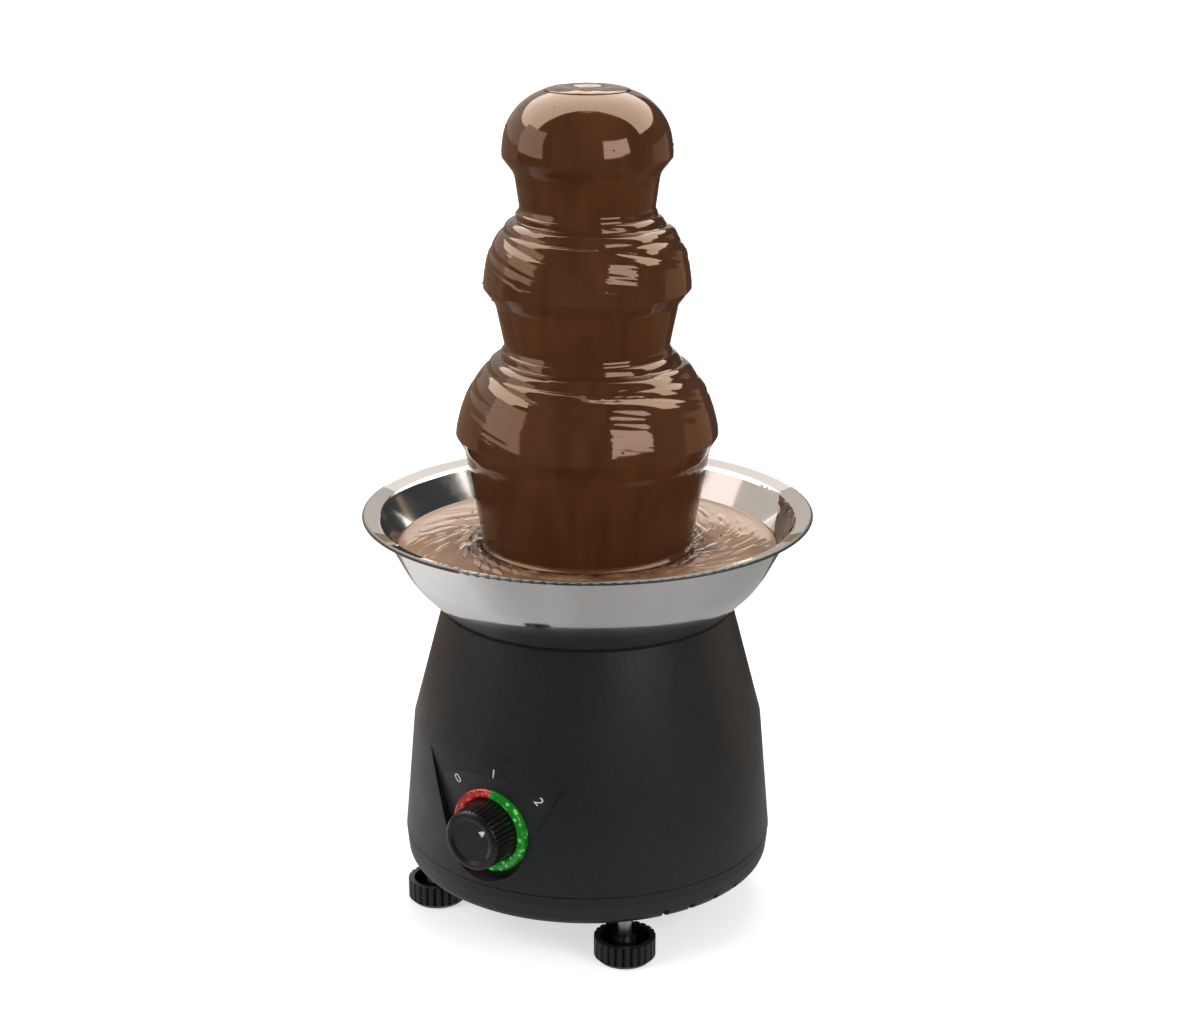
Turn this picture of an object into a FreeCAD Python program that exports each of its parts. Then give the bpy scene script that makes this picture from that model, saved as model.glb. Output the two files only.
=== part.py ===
# Table-top chocolate fountain: a moulded base on three levelling feet, a heated steel bowl and a tower of
# three tiers with a screw in its tube that lifts the chocolate to the top, from where it falls back
# The origin is on the table under the axis of the tower, +Z is up and the control knob faces -Y
# Lengths are in millimetres and angles in degrees

import FreeCAD, Part
import math
import os

# Clearances
SNUG = 0.03
RUNNING = 0.05
SEAT = 0.1
LOOSE = 0.3

# Levelling feet: a serrated cup on a threaded stud that screws into an insert in the tray
FOOT_CIRCLE_RADIUS = 70.2
FRONT_FOOT_SPREAD = 47.0
CUP_RADIUS = 13.6
CUP_HEIGHT = 10.8
CUP_CHAMFER = 2.0
CUP_WALL = 2.6
CUP_FLOOR = 2.5
CUP_BOSS_RADIUS = 5.2
CUP_BOSS_DROP = 1.2
CUP_NOTCHES = 24
CUP_NOTCH_DEPTH = 1.0
CUP_NOTCH_WIDTH = 1.7
STUD_RADIUS = 3.0
STUD_REACH = 12.5
INSERT_RADIUS = 5.0
INSERT_LENGTH = 8.5
FOOT_BOSS_RADIUS = 8.0

# Base tray, the bottom cover
TRAY_LIFT = 21.5
TRAY_DEPTH = 14.35
TRAY_RADIUS = 83.7
TRAY_TAPER = 1.4
TRAY_CORNER = 6.0
TRAY_WALL = 2.5
TONGUE_WALL = 1.6
TONGUE_RISE = 3.0
TONGUE_GAP_WIDTH = 52.0
VENT_WIDTH = 3.0
VENT_PITCH = 9.5
VENT_START = 58.0
VENT_COUNT = 26
VENT_HEIGHT = 4.5
VENT_INNER = 75.0
FLOOR_VENT_COUNT = 12
FLOOR_VENT_INNER = 16.0
FLOOR_VENT_OUTER = 38.0
TRAY_SCREW_CIRCLE_RADIUS = 70.0
TRAY_SCREW_ANGLE = 20.0
TRAY_SCREW_RADIUS = 1.5
TRAY_SCREW_HEAD_RADIUS = 3.4
TRAY_SCREW_HEAD = 2.2
TRAY_SCREW_LENGTH = 14.0

# Housing shell, the moulded skirt
SEAM = 0.4
HOUSING_HEIGHT = 105.7
HOUSING_TOP_RADIUS = 65.2
HOUSING_BULGE = 2.27
HOUSING_WALL = 2.5
SCREW_BOSS_RADIUS = 4.0
SCREW_BOSS_RISE = 26.0
RIB_WALL = 2.4
DECK_GAP = 11.45
DECK_WALL = 2.5
DECK_HOLE = 27.0

# Control recess and dial, measured outwards from the axis of the tower
CONTROL_RISE = 23.65
RECESS_FRONT = 77.0
RECESS_CURVE = 100.0
RECESS_RADIUS = 21.5
RECESS_FLARE = 24.6
RECESS_TOP = 36.0
RECESS_WALL = 2.5
DIAL_BOSS_RADIUS = 23.5
DIAL_BOSS_WALL = 5.5
DIAL_BOSS_LAP = 1.0
RING_RADIUS = 19.0
RING_SINK = 1.8
RING_PROUD = 1.5
RING_ROUND = 1.2
RING_SPLIT = 3.0
RING_SPLIT_GAP = 0.25
KNOB_BASE_RADIUS = 14.6
KNOB_RING_GAP = 0.4
KNOB_GAP = 0.5
KNOB_FRONT_RADIUS = 13.5
KNOB_LENGTH = 14.0
KNOB_ROUND = 2.0
KNOB_DISH = 0.8
KNOB_DISH_RADIUS = 10.8
KNOB_WALL = 2.6
KNOB_BOSS_RADIUS = 5.6
KNOB_BOSS_GAP = 0.6
KNOB_SKIRT = 0.8
SPINDLE_ROOM = 1.0
KNOB_RIBS = 40
KNOB_RIB_DEPTH = 0.7
KNOB_RIB_FLARE = 1.0
SWITCH_SIZE = 24.0
SWITCH_DEPTH = 15.0
SWITCH_TAB = 6.0
TAB_WALL = 0.8
NECK_RADIUS = 4.5
NECK_PROUD = 0.5
NUT_WALL = 2.2
SWITCH_NUT_FLATS = 11.0
SPINDLE_RADIUS = 3.0
BOARD_WALL = 1.6
BOARD_MARGIN = 1.0
LAMP_RADIUS = 1.8
LAMP_ANGLE = 90.0

# Bowl
BOWL_RADIUS = 100.0
BOWL_DEPTH = 56.0
BOWL_WALL = 1.0
BOWL_FLOOR_RADIUS = 52.12
BOWL_CONE = 45.0
BOWL_KNEE_OUTSET = 13.9
BOWL_FLOOR_ROUND = 14.0
BOWL_KNEE_ROUND = 40.0
LIP_WIDTH = 6.6
LIP_SLOPE = 19.5
LIP_BEAD = 1.0
LIP_BEND = 2.0
GASKET_WALL = 0.6
BOWL_STUD_RADIUS = 2.0
BOWL_STUD_INSET = 3.5
BOWL_STUD_TAIL = 4.5
BOWL_NUT_FLATS = 7.0
BOWL_NUT_WALL = 3.2

# Heater under the bowl
HEATER_NUT_GAP = 1.9
HEATER_EDGE_GAP = 0.3
HEATER_WALL = 3.5
ELEMENT_CIRCLE_RADIUS = 34.0
ELEMENT_RADIUS = 3.2
ELEMENT_TURN = 325.0
ELEMENT_TERMINAL = 3.5
ELEMENT_END_ANGLE = 3.0
SENSOR_CIRCLE_RADIUS = 22.0
THERMOSTAT_RADIUS = 6.8
THERMOSTAT_HEIGHT = 5.0
THERMOSTAT_TAB = 2.0
THERMOSTAT_TAB_WIDTH = 3.2
THERMOSTAT_TAB_OUTSET = 3.4
FUSE_RADIUS = 2.2
FUSE_LENGTH = 11.0
FUSE_CLIP_WALL = 0.8

# Shaft hub through the bowl floor
SHAFT_RADIUS = 4.0
HUB_RADIUS = 8.0
HUB_FLANGE_RADIUS = 12.0
HUB_FLANGE = 2.0
HUB_RISE = 7.0
HUB_TAIL = 14.0
HUB_NUT_FLATS = 21.0
HUB_NUT_WALL = 3.6
SEAL_RADIUS = 6.4
SEAL_WALL = 3.5

# Tower: tube with foot flange and inlet windows, two tiers, crown
TUBE_BORE = 16.5
TUBE_WALL = 1.5
TUBE_LENGTH = 217.7
FLANGE_REACH = 8.0
FLANGE_WALL = 1.5
WINDOW_WIDTH = 16.0
WINDOW_HEIGHT = 13.0
PIN_OUTSET = 4.2
PIN_RADIUS = 2.0
PIN_RISE = 4.0
SLEEVE_WALL = 1.2
SLEEVE_LENGTH = 16.0
TIER_WALL = 1.2
TIER_RIM = 1.8
TIER_RIM_ROUND = 1.5
CLIP_WALL = 1.2
CLIP_REACH = 2.0
CROWN_SLEEVE = 15.0
THROAT_SLOPE = 1.0

# Running chocolate: outer radius and drop at the turns of its outline, from the top down to the pool
COAT_WALL = 2.4
POOL_DEPTH = 39.0
POOL_HOLE_GAP = 2.0
CROWN_RISE = 21.9
CROWN_DOME = 25.4
CROWN_LIP_RADIUS = 36.7
CROWN_BULGE = 4.6
CROWN_FALL = 29.0
MIDDLE_NECK_RADIUS = 28.7
MIDDLE_DOME = 27.0
MIDDLE_LIP_RADIUS = 45.0
MIDDLE_BULGE = 3.3
MIDDLE_FALL = 32.5
LOWER_NECK_RADIUS = 35.3
LOWER_DOME = 32.0
LOWER_LIP_RADIUS = 57.5
LOWER_BULGE = 3.5
LIP_ROUND = 3.4
UNDERCUT_ROUND = 5.0
NECK_ROUND = 4.0
CROWN_UNDERCUT_RADIUS = 31.3
CROWN_UNDERCUT_DROP = 10.0
MIDDLE_UNDERCUT_RADIUS = 39.9
MIDDLE_UNDERCUT_DROP = 9.9
LOWER_UNDERCUT_RADIUS = 54.2
LOWER_UNDERCUT_DROP = 9.6
CURTAIN_FOOT_RADIUS = 46.3
LIP_DROP = 2.8
BULGE_SHARE = 0.8

# Auger in the tube, and the well of chocolate that it lifts through the crown
AUGER_CORE = 7.0
AUGER_GAP = 0.6
AUGER_PITCH = 30.0
AUGER_FLIGHT_WALL = 2.2
AUGER_START = 8.0
AUGER_TOP_GAP = 22.7
FLIGHT_ROOT = 1.0
SOCKET_DEPTH = 15.0
SHAFT_FLAT = 3.0
WELL_GAP = 3.0
WELL_CREST_RADIUS = 9.5
WELL_CREST = 1.1
WELL_CRATER = 1.4
WELL_CRATER_SLOPE = 4.0
WELL_ROUND = 3.0

# Gear train: two equal steps between the rotor and the output shaft, which share one axis
GEAR_MODULE = 1.0
PINION_TEETH = 12
WHEEL_TEETH = 48
PRESSURE_ANGLE = 20.0
PINION_ADDENDUM = 1.0
WHEEL_ADDENDUM = 0.7
TOOTH_CLEARANCE = 0.3
BACKLASH = 0.16
PLATE_WALL = 2.0
PLATE_SPACE = 21.0
PLATE_MARGIN = 6.0
PLATE_CORNER = 5.0
PLATE_HALF_WIDTH = 30.0
POST_ROW = 24.0
POST_OUTSET = 22.0
POST_RADIUS = 4.0
PINION_WIDTH = 6.5
WHEEL_WIDTH = 5.0
PLATE_TO_PINION = 1.6
WHEEL_TO_WHEEL = 3.5
IDLER_HUB_RADIUS = 4.6
IDLER_PINION_LAP = 1.0
IDLER_PIN_RADIUS = 2.0
OUTPUT_HUB_RADIUS = 8.0
BUSH_RADIUS = 7.0
BUSH_FLANGE_RADIUS = 9.0
BUSH_FLANGE = 1.8
BUSH_RISE = 2.0
CIRCLIP_WALL = 1.0
CIRCLIP_RADIUS = 6.2
CIRCLIP_GROOVE = 0.6
CIRCLIP_OPENING = 2.0
POST_SCREW_RADIUS = 1.5
POST_SCREW_HEAD_RADIUS = 3.0
POST_SCREW_HEAD = 2.0
POST_SCREW_BITE = 8.0
PILOT_ROOM = 1.0

# Motor below the gear train
STACK_GAP = 8.0
STACK_HEIGHT = 18.0
STACK_FRONT = 20.0
STACK_BACK = 46.0
STACK_HALF_WIDTH = 22.0
LEG_WIDTH = 10.0
WINDOW_BACK_GAP = 17.0
WINDOW_HALF_WIDTH = 15.0
ROTOR_RADIUS = 13.0
ROTOR_GAP = 0.4
ROTOR_SHAFT_RADIUS = 2.0
END_RING_RADIUS = 12.0
END_RING_HEIGHT = 2.0
COIL_BUILD = 6.5
BOBBIN_WALL = 1.0
BRIDGE_GAP = 4.0
BRIDGE_WALL = 2.0
BRIDGE_HALF_WIDTH = 6.0
MOTOR_SCREW_ROW = 17.7
MOTOR_SCREW_RADIUS = 1.5
MOTOR_NUT_FLATS = 5.5
MOTOR_NUT_WALL = 1.4
SPACER_RADIUS = 2.8
ROTOR_BUSH_RADIUS = 4.0
ROTOR_BUSH_HEIGHT = 5.0
ROTOR_TAIL = 2.0

# Mains parts in the base
INLET_RISE = 14.0
INLET_RADIUS = 5.0
INLET_BORE = 3.3
INLET_FLANGE_RADIUS = 7.5
INLET_FLANGE = 2.5
INLET_STANDOFF = 2.0
INLET_CHAMFER = 1.0
TERMINAL_CIRCLE_RADIUS = 52.0
TERMINAL_ANGLE = 60.0
TERMINAL_LENGTH = 26.0
TERMINAL_WIDTH = 12.0
TERMINAL_HEIGHT = 11.0
TERMINAL_WAYS = 3
TERMINAL_SLOT = 4.0
TERMINAL_SLOT_RISE = 3.0
TERMINAL_SLOT_HEIGHT = 3.0
TERMINAL_SCREW_RADIUS = 2.0

# Heights and radii that follow from the driving dimensions
tray_top = TRAY_LIFT + TRAY_DEPTH
tray_floor = TRAY_LIFT + TRAY_WALL
housing_bottom = tray_top + SEAM
housing_top = housing_bottom + HOUSING_HEIGHT
control_level = tray_top + CONTROL_RISE
seat_gap = (GASKET_WALL + 2 * SEAT) * math.sqrt(2)
bowl_seat = housing_top + seat_gap
bowl_bottom = bowl_seat - (HOUSING_TOP_RADIUS - BOWL_FLOOR_RADIUS) * math.tan(math.radians(BOWL_CONE))
deck_level = bowl_bottom - DECK_GAP
bowl_floor = bowl_bottom + BOWL_WALL
bowl_lip = bowl_bottom + BOWL_DEPTH
heater_bottom = bowl_bottom - HEATER_WALL
heater_inner = HUB_NUT_FLATS / math.sqrt(3) + HEATER_NUT_GAP
heater_outer = BOWL_FLOOR_RADIUS - BOWL_FLOOR_ROUND * math.tan(math.radians(BOWL_CONE / 2)) - HEATER_EDGE_GAP
bowl_stud_circle = heater_outer - BOWL_STUD_INSET
tube_radius = TUBE_BORE + TUBE_WALL
flange_radius = tube_radius + FLANGE_REACH
pin_circle = tube_radius + PIN_OUTSET
tower_foot = bowl_floor + LOOSE
tube_top = tower_foot + TUBE_LENGTH
crown_top = tube_top + CROWN_RISE
crown_lip = crown_top - CROWN_DOME
middle_neck = crown_lip - CROWN_FALL
middle_lip = middle_neck - MIDDLE_DOME
lower_neck = middle_lip - MIDDLE_FALL
lower_lip = lower_neck - LOWER_DOME
pool_level = bowl_floor + POOL_DEPTH
pool_hole = flange_radius + POOL_HOLE_GAP
hub_top = bowl_floor + HUB_RISE
hub_bottom = bowl_bottom - HUB_TAIL
auger_bottom = hub_top + LOOSE
auger_radius = TUBE_BORE - AUGER_GAP
socket_top = auger_bottom + SOCKET_DEPTH
well_bottom = tube_top + WELL_GAP
foot_angles = {"rear": 90.0, "left": 270.0 - FRONT_FOOT_SPREAD, "right": 270.0 + FRONT_FOOT_SPREAD}
screw_angles = [TRAY_SCREW_ANGLE, 180 - TRAY_SCREW_ANGLE, 180 + TRAY_SCREW_ANGLE, 360 - TRAY_SCREW_ANGLE]
pin_angles = [90.0, 210.0, 330.0]
window_angles = [30.0, 150.0, 270.0]
stud_angles = [60.0, 180.0, 300.0]
centre_distance = GEAR_MODULE * (PINION_TEETH + WHEEL_TEETH) / 2
drive_depth = STACK_GAP + STACK_HEIGHT + BRIDGE_GAP + BRIDGE_WALL + ROTOR_TAIL
drive_height = drive_depth + 2 * PLATE_WALL + PLATE_SPACE + BUSH_RISE
plate_level = drive_depth + (tray_floor + hub_bottom - drive_height) / 2
plate_top = plate_level + PLATE_WALL
upper_plate = plate_top + PLATE_SPACE
upper_plate_top = upper_plate + PLATE_WALL
pinion_bottom = plate_top + PLATE_TO_PINION
first_wheel = pinion_bottom + (PINION_WIDTH - WHEEL_WIDTH) / 2
second_wheel = first_wheel + WHEEL_WIDTH + WHEEL_TO_WHEEL
bush_bottom = upper_plate - BUSH_FLANGE
bush_top = upper_plate_top + BUSH_RISE
stack_top = plate_level - STACK_GAP
stack_bottom = stack_top - STACK_HEIGHT
bridge_top = stack_bottom - BRIDGE_GAP
bridge_bottom = bridge_top - BRIDGE_WALL
post_places = [(x, y) for x in (-POST_OUTSET, centre_distance + POST_OUTSET) for y in (-POST_ROW, POST_ROW)]
motor_screw_places = [(0.0, -MOTOR_SCREW_ROW), (0.0, MOTOR_SCREW_ROW)]
dial_back = RECESS_FRONT - DIAL_BOSS_WALL
ring_back = RECESS_FRONT - RING_SINK
ring_inner = KNOB_BASE_RADIUS + KNOB_RING_GAP
knob_base = RECESS_FRONT + KNOB_GAP
well_radius = TUBE_BORE - LOOSE

X_AXIS = FreeCAD.Vector(1, 0, 0)
Y_AXIS = FreeCAD.Vector(0, 1, 0)
Z_AXIS = FreeCAD.Vector(0, 0, 1)
ORIGIN = FreeCAD.Vector(0, 0, 0)


def polar(radius, angle, level=0.0):
    """Point at a radius and an angle round the Z axis."""
    turn = math.radians(angle)
    return FreeCAD.Vector(radius * math.cos(turn), radius * math.sin(turn), level)


def unit(start, end):
    """Direction from one profile point to another."""
    length = math.hypot(end[0] - start[0], end[1] - start[1])
    return (end[0] - start[0]) / length, (end[1] - start[1]) / length


def crossing(start, along, other, across):
    """Where the line from start in one direction meets the line from other in another."""
    spread = along[0] * across[1] - along[1] * across[0]
    reach = ((other[0] - start[0]) * across[1] - (other[1] - start[1]) * across[0]) / spread
    return start[0] + reach * along[0], start[1] + reach * along[1]


def heading(angle):
    """Profile direction at an angle above the outward radius."""
    return math.cos(math.radians(angle)), math.sin(math.radians(angle))


def rounding(point):
    """Corner radius of a profile point (radius, height, corner radius), or 0 where none is given."""
    return point[2] if len(point) > 2 else 0.0


def parallel(path, gap):
    """The open profile path moved sideways by gap, to the left of its direction, round corners concentric."""
    steps = [unit(start, end) for start, end in zip(path, path[1:])]
    starts = [(point[0] - gap * step[1], point[1] + gap * step[0]) for point, step in zip(path, steps)]
    moved = [starts[0]]
    for index in range(1, len(path) - 1):
        before, after = steps[index - 1], steps[index]
        corner = crossing(starts[index - 1], before, starts[index], after)
        left_turn = before[0] * after[1] > before[1] * after[0]
        radius = rounding(path[index])
        if radius > 0:
            radius = max(radius - gap if left_turn else radius + gap, 0.0)
        moved.append((corner[0], corner[1], radius))
    last = steps[-1]
    moved.append((path[-1][0] - gap * last[1], path[-1][1] + gap * last[0]))
    return moved


def bulged(start, end, rise, share=BULGE_SHARE):
    """Corner that turns the line from start to end into an arc which stands out by rise to its left."""
    along = unit(start, end)
    half = math.hypot(end[0] - start[0], end[1] - start[1]) / 2
    radius = (half * half + rise * rise) / (2 * rise)
    half_turn = math.asin(half / radius)
    height = half * math.tan(half_turn)
    middle = (start[0] + end[0]) / 2, (start[1] + end[1]) / 2
    return middle[0] - along[1] * height, middle[1] + along[0] * height, share * radius


def outline_edges(corners):
    """Edges in the XZ plane round a closed outline, with an arc at each corner that has a radius."""
    count = len(corners)
    edges = []
    ends = []
    for index, corner in enumerate(corners):
        before = unit(corners[index - 1], corner)
        after = unit(corner, corners[(index + 1) % count])
        sine = before[0] * after[1] - before[1] * after[0]
        cosine = before[0] * after[0] + before[1] * after[1]
        turn = math.atan2(sine, cosine)
        radius = rounding(corner)
        if radius <= 0 or abs(turn) < 1e-6:
            ends.append((corner[:2], corner[:2], None))
            continue
        reach = radius * math.tan(abs(turn) / 2)
        first = corner[0] - reach * before[0], corner[1] - reach * before[1]
        second = corner[0] + reach * after[0], corner[1] + reach * after[1]
        side = math.copysign(1.0, turn)
        centre = first[0] - side * radius * before[1], first[1] + side * radius * before[0]
        outward = unit(centre, corner)
        ends.append((first, second, (centre[0] + radius * outward[0], centre[1] + radius * outward[1])))
    for index, (first, second, middle) in enumerate(ends):
        arrive = FreeCAD.Vector(first[0], 0, first[1])
        leave = FreeCAD.Vector(second[0], 0, second[1])
        if middle:
            edges.append(Part.Arc(arrive, FreeCAD.Vector(middle[0], 0, middle[1]), leave).toShape())
        following = ends[(index + 1) % count][0]
        target = FreeCAD.Vector(following[0], 0, following[1])
        if leave.distanceToPoint(target) > 1e-5:
            edges.append(Part.makeLine(leave, target))
    return edges


def section(corners):
    """Flat face in the XZ plane inside a closed outline."""
    return Part.Face(Part.Wire(outline_edges(corners)))


def outward(solid):
    """The solid with its faces pointing out."""
    if solid.Volume < 0:
        solid.reverse()
    return solid


def turned(corners, angle=360.0):
    """Solid of revolution of a closed outline about the Z axis."""
    return outward(section(corners).revolve(ORIGIN, Z_AXIS, angle))


def sheet(path, wall, smallest=0.0):
    """Closed outline of a wall to the left of a profile path; its far side has no round under smallest."""
    far = [point if rounding(point) >= smallest else point[:2] for point in parallel(path, wall)]
    return list(path) + far[::-1]


def skirt(path, wall, bottom=None, top=None):
    """Closed outline of a wall left of a rising path, its far side cut level at the bottom or the top."""
    far = parallel(path, wall)
    if bottom is not None:
        far[0] = crossing(far[0], unit(far[0], far[1]), (0, bottom), (1.0, 0.0))
    if top is not None:
        far[-1] = crossing(far[-1], unit(far[-2], far[-1]), (0, top), (1.0, 0.0))
    return list(path) + far[::-1]


def cylinder(radius, bottom, top, x=0.0, y=0.0):
    """Upright solid cylinder."""
    return Part.makeCylinder(radius, top - bottom, FreeCAD.Vector(x, y, bottom))


def ring(outer, inner, bottom, top, x=0.0, y=0.0):
    """Upright hollow cylinder."""
    return cylinder(outer, bottom, top, x, y).cut(cylinder(inner, bottom, top, x, y))


def block(x0, x1, y0, y1, z0, z1):
    """Box between two corners."""
    return Part.makeBox(x1 - x0, y1 - y0, z1 - z0, FreeCAD.Vector(x0, y0, z0))


def hexagon(flats, bottom, top, x=0.0, y=0.0):
    """Upright hexagonal prism, measured across its flats."""
    corner = flats / math.sqrt(3)
    points = [FreeCAD.Vector(x, y, bottom) + polar(corner, 60 * step) for step in range(7)]
    return Part.Face(Part.makePolygon(points)).extrude(Z_AXIS * (top - bottom))


def prism(points, bottom, top):
    """Upright prism on a closed polygon of plane points."""
    loop = [FreeCAD.Vector(x, y, bottom) for x, y in points + points[:1]]
    return outward(Part.Face(Part.makePolygon(loop)).extrude(Z_AXIS * (top - bottom)))


def spun(shape, angle):
    """Copy of a shape turned about the Z axis."""
    copy = shape.copy()
    copy.rotate(ORIGIN, Z_AXIS, angle)
    return copy


def moved(shape, x=0.0, y=0.0, z=0.0):
    """Copy of a shape moved along the axes."""
    copy = shape.copy()
    copy.translate(FreeCAD.Vector(x, y, z))
    return copy


def placed(shape, radius, angle):
    """Copy of a shape moved out to a radius and an angle round the Z axis."""
    place = polar(radius, angle)
    return moved(shape, place.x, place.y)


def around(shape, angles):
    """Copies of a shape at several angles round the Z axis."""
    return [spun(shape, angle) for angle in angles]


def to_dial(shape):
    """A shape made along +Z, with +Y as its top, laid on the axis of the dial, which points along -Y."""
    copy = shape.copy()
    copy.rotate(ORIGIN, X_AXIS, 90)
    copy.translate(FreeCAD.Vector(0, 0, control_level))
    return copy


# Feet

def foot_cup():
    """Serrated hand wheel with a hollow top and a centre boss that holds the stud."""
    boss_top = CUP_HEIGHT - CUP_BOSS_DROP
    cup = turned([
        (0, 0),
        (CUP_RADIUS - CUP_CHAMFER, 0),
        (CUP_RADIUS, CUP_CHAMFER),
        (CUP_RADIUS, CUP_HEIGHT),
        (CUP_RADIUS - CUP_WALL, CUP_HEIGHT),
        (CUP_RADIUS - CUP_WALL, CUP_FLOOR),
        (CUP_BOSS_RADIUS, CUP_FLOOR),
        (CUP_BOSS_RADIUS, boss_top),
        (0, boss_top),
    ])
    notch = prism([
        (CUP_RADIUS - CUP_NOTCH_DEPTH, 0.0),
        (CUP_RADIUS + CUP_NOTCH_DEPTH, -CUP_NOTCH_WIDTH),
        (CUP_RADIUS + CUP_NOTCH_DEPTH, CUP_NOTCH_WIDTH),
    ], CUP_CHAMFER, CUP_HEIGHT)
    notches = around(notch, [360.0 * step / CUP_NOTCHES for step in range(CUP_NOTCHES)])
    bore = cylinder(STUD_RADIUS + RUNNING, CUP_FLOOR, CUP_HEIGHT)
    return cup.cut(notches + [bore])


def foot_stud():
    """Plain shank of the threaded stud, from the floor of the cup up through the tray."""
    top = TRAY_LIFT + STUD_REACH
    stud = cylinder(STUD_RADIUS, CUP_FLOOR + LOOSE, top)
    return stud.makeChamfer(STUD_RADIUS / 4, stud.Edges)


def foot_insert():
    """Threaded insert of the tray, a plain sleeve."""
    return ring(INSERT_RADIUS, STUD_RADIUS + RUNNING, TRAY_LIFT, TRAY_LIFT + INSERT_LENGTH)


# Base tray and housing

def housing_profile():
    """Outer profile of the skirt, from its bottom edge up to the edge under the bowl."""
    bottom = (TRAY_RADIUS, housing_bottom)
    top = (HOUSING_TOP_RADIUS, housing_top)
    return [bottom, bulged(bottom, top, -HOUSING_BULGE, 1.0), top]


def housing_inner_radius(level):
    """Inner radius of the skirt near a level, on the straight line between its ends."""
    share = (level - housing_bottom) / HOUSING_HEIGHT
    return TRAY_RADIUS + share * (HOUSING_TOP_RADIUS - TRAY_RADIUS) - HOUSING_WALL


def base_tray():
    """Shallow pan with a tongue into the housing, foot bosses and vents."""
    tongue_top = housing_bottom + TONGUE_RISE
    tongue_radius = housing_inner_radius(tongue_top) - SEAT
    path = [(0, TRAY_LIFT), (TRAY_RADIUS - TRAY_TAPER, TRAY_LIFT, TRAY_CORNER), (TRAY_RADIUS, tray_top)]
    tray = turned(skirt(path, TRAY_WALL, top=tray_top))
    tongue = turned([
        (tongue_radius - TONGUE_WALL, tray_floor + TRAY_WALL),
        (tongue_radius + TONGUE_WALL, tray_floor + TRAY_WALL),
        (tongue_radius + TONGUE_WALL, tray_top - TRAY_WALL),
        (tongue_radius, tray_top),
        (tongue_radius, tongue_top),
        (tongue_radius - TONGUE_WALL, tongue_top),
    ])
    half_gap = TONGUE_GAP_WIDTH / 2
    tongue_gap = block(-half_gap, half_gap, -TRAY_RADIUS, 0, tray_top, tongue_top)
    foot_boss = cylinder(FOOT_BOSS_RADIUS, TRAY_LIFT, TRAY_LIFT + INSERT_LENGTH)
    bosses = [placed(foot_boss, FOOT_CIRCLE_RADIUS, angle) for angle in foot_angles.values()]
    tray = tray.fuse([tongue.cut(tongue_gap)] + bosses)
    insert_hole = cylinder(INSERT_RADIUS + SNUG, 0, tray_top)
    insert_holes = [placed(insert_hole, FOOT_CIRCLE_RADIUS, angle) for angle in foot_angles.values()]
    screw_hole = cylinder(TRAY_SCREW_RADIUS + SEAT, 0, tray_top)
    screw_holes = [placed(screw_hole, TRAY_SCREW_CIRCLE_RADIUS, angle) for angle in screw_angles]
    vent = block(VENT_INNER, TRAY_RADIUS + LOOSE, -VENT_WIDTH / 2, VENT_WIDTH / 2, 0, TRAY_LIFT + VENT_HEIGHT)
    vent_angles = [270.0 + VENT_START + VENT_PITCH * step for step in range(VENT_COUNT)]
    floor_vent = block(FLOOR_VENT_INNER, FLOOR_VENT_OUTER, -VENT_WIDTH / 2, VENT_WIDTH / 2, 0, tray_top)
    floor_angles = [360.0 * step / FLOOR_VENT_COUNT for step in range(FLOOR_VENT_COUNT)]
    cuts = around(vent, vent_angles) + around(floor_vent, floor_angles)
    return tray.cut(insert_holes + screw_holes + cuts).removeSplitter()


def tray_screws():
    """Screws that hold the tray against the bosses of the housing."""
    screw = cylinder(TRAY_SCREW_HEAD_RADIUS, TRAY_LIFT - TRAY_SCREW_HEAD, TRAY_LIFT)
    screw = screw.fuse(cylinder(TRAY_SCREW_RADIUS, TRAY_LIFT, TRAY_LIFT + TRAY_SCREW_LENGTH))
    return [placed(screw, TRAY_SCREW_CIRCLE_RADIUS, angle) for angle in screw_angles]


def recess_outline(margin):
    """Prism of the dial recess outline, grown by margin: round at the bottom, flaring towards the top."""
    radius = RECESS_RADIUS + margin
    flare = math.radians(RECESS_FLARE)
    side_x, side_y = radius * math.cos(flare), -radius * math.sin(flare)
    top_x = side_x + (RECESS_TOP - side_y) * math.tan(flare)
    left, right = FreeCAD.Vector(-side_x, side_y, 0), FreeCAD.Vector(side_x, side_y, 0)
    top_left, top_right = FreeCAD.Vector(-top_x, RECESS_TOP, 0), FreeCAD.Vector(top_x, RECESS_TOP, 0)
    bottom = Part.Arc(left, FreeCAD.Vector(0, -radius, 0), right).toShape()
    corners = [right, top_right, top_left, left]
    sides = [Part.makeLine(start, end) for start, end in zip(corners, corners[1:])]
    face = Part.Face(Part.Wire([bottom] + sides))
    return to_dial(outward(face.extrude(Z_AXIS * (2 * TRAY_RADIUS))))


def recess_drum(radius):
    """Upright drum whose front is the curved floor of the recess, or its back."""
    return cylinder(radius, 0, housing_top, 0.0, RECESS_CURVE - RECESS_FRONT)


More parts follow.
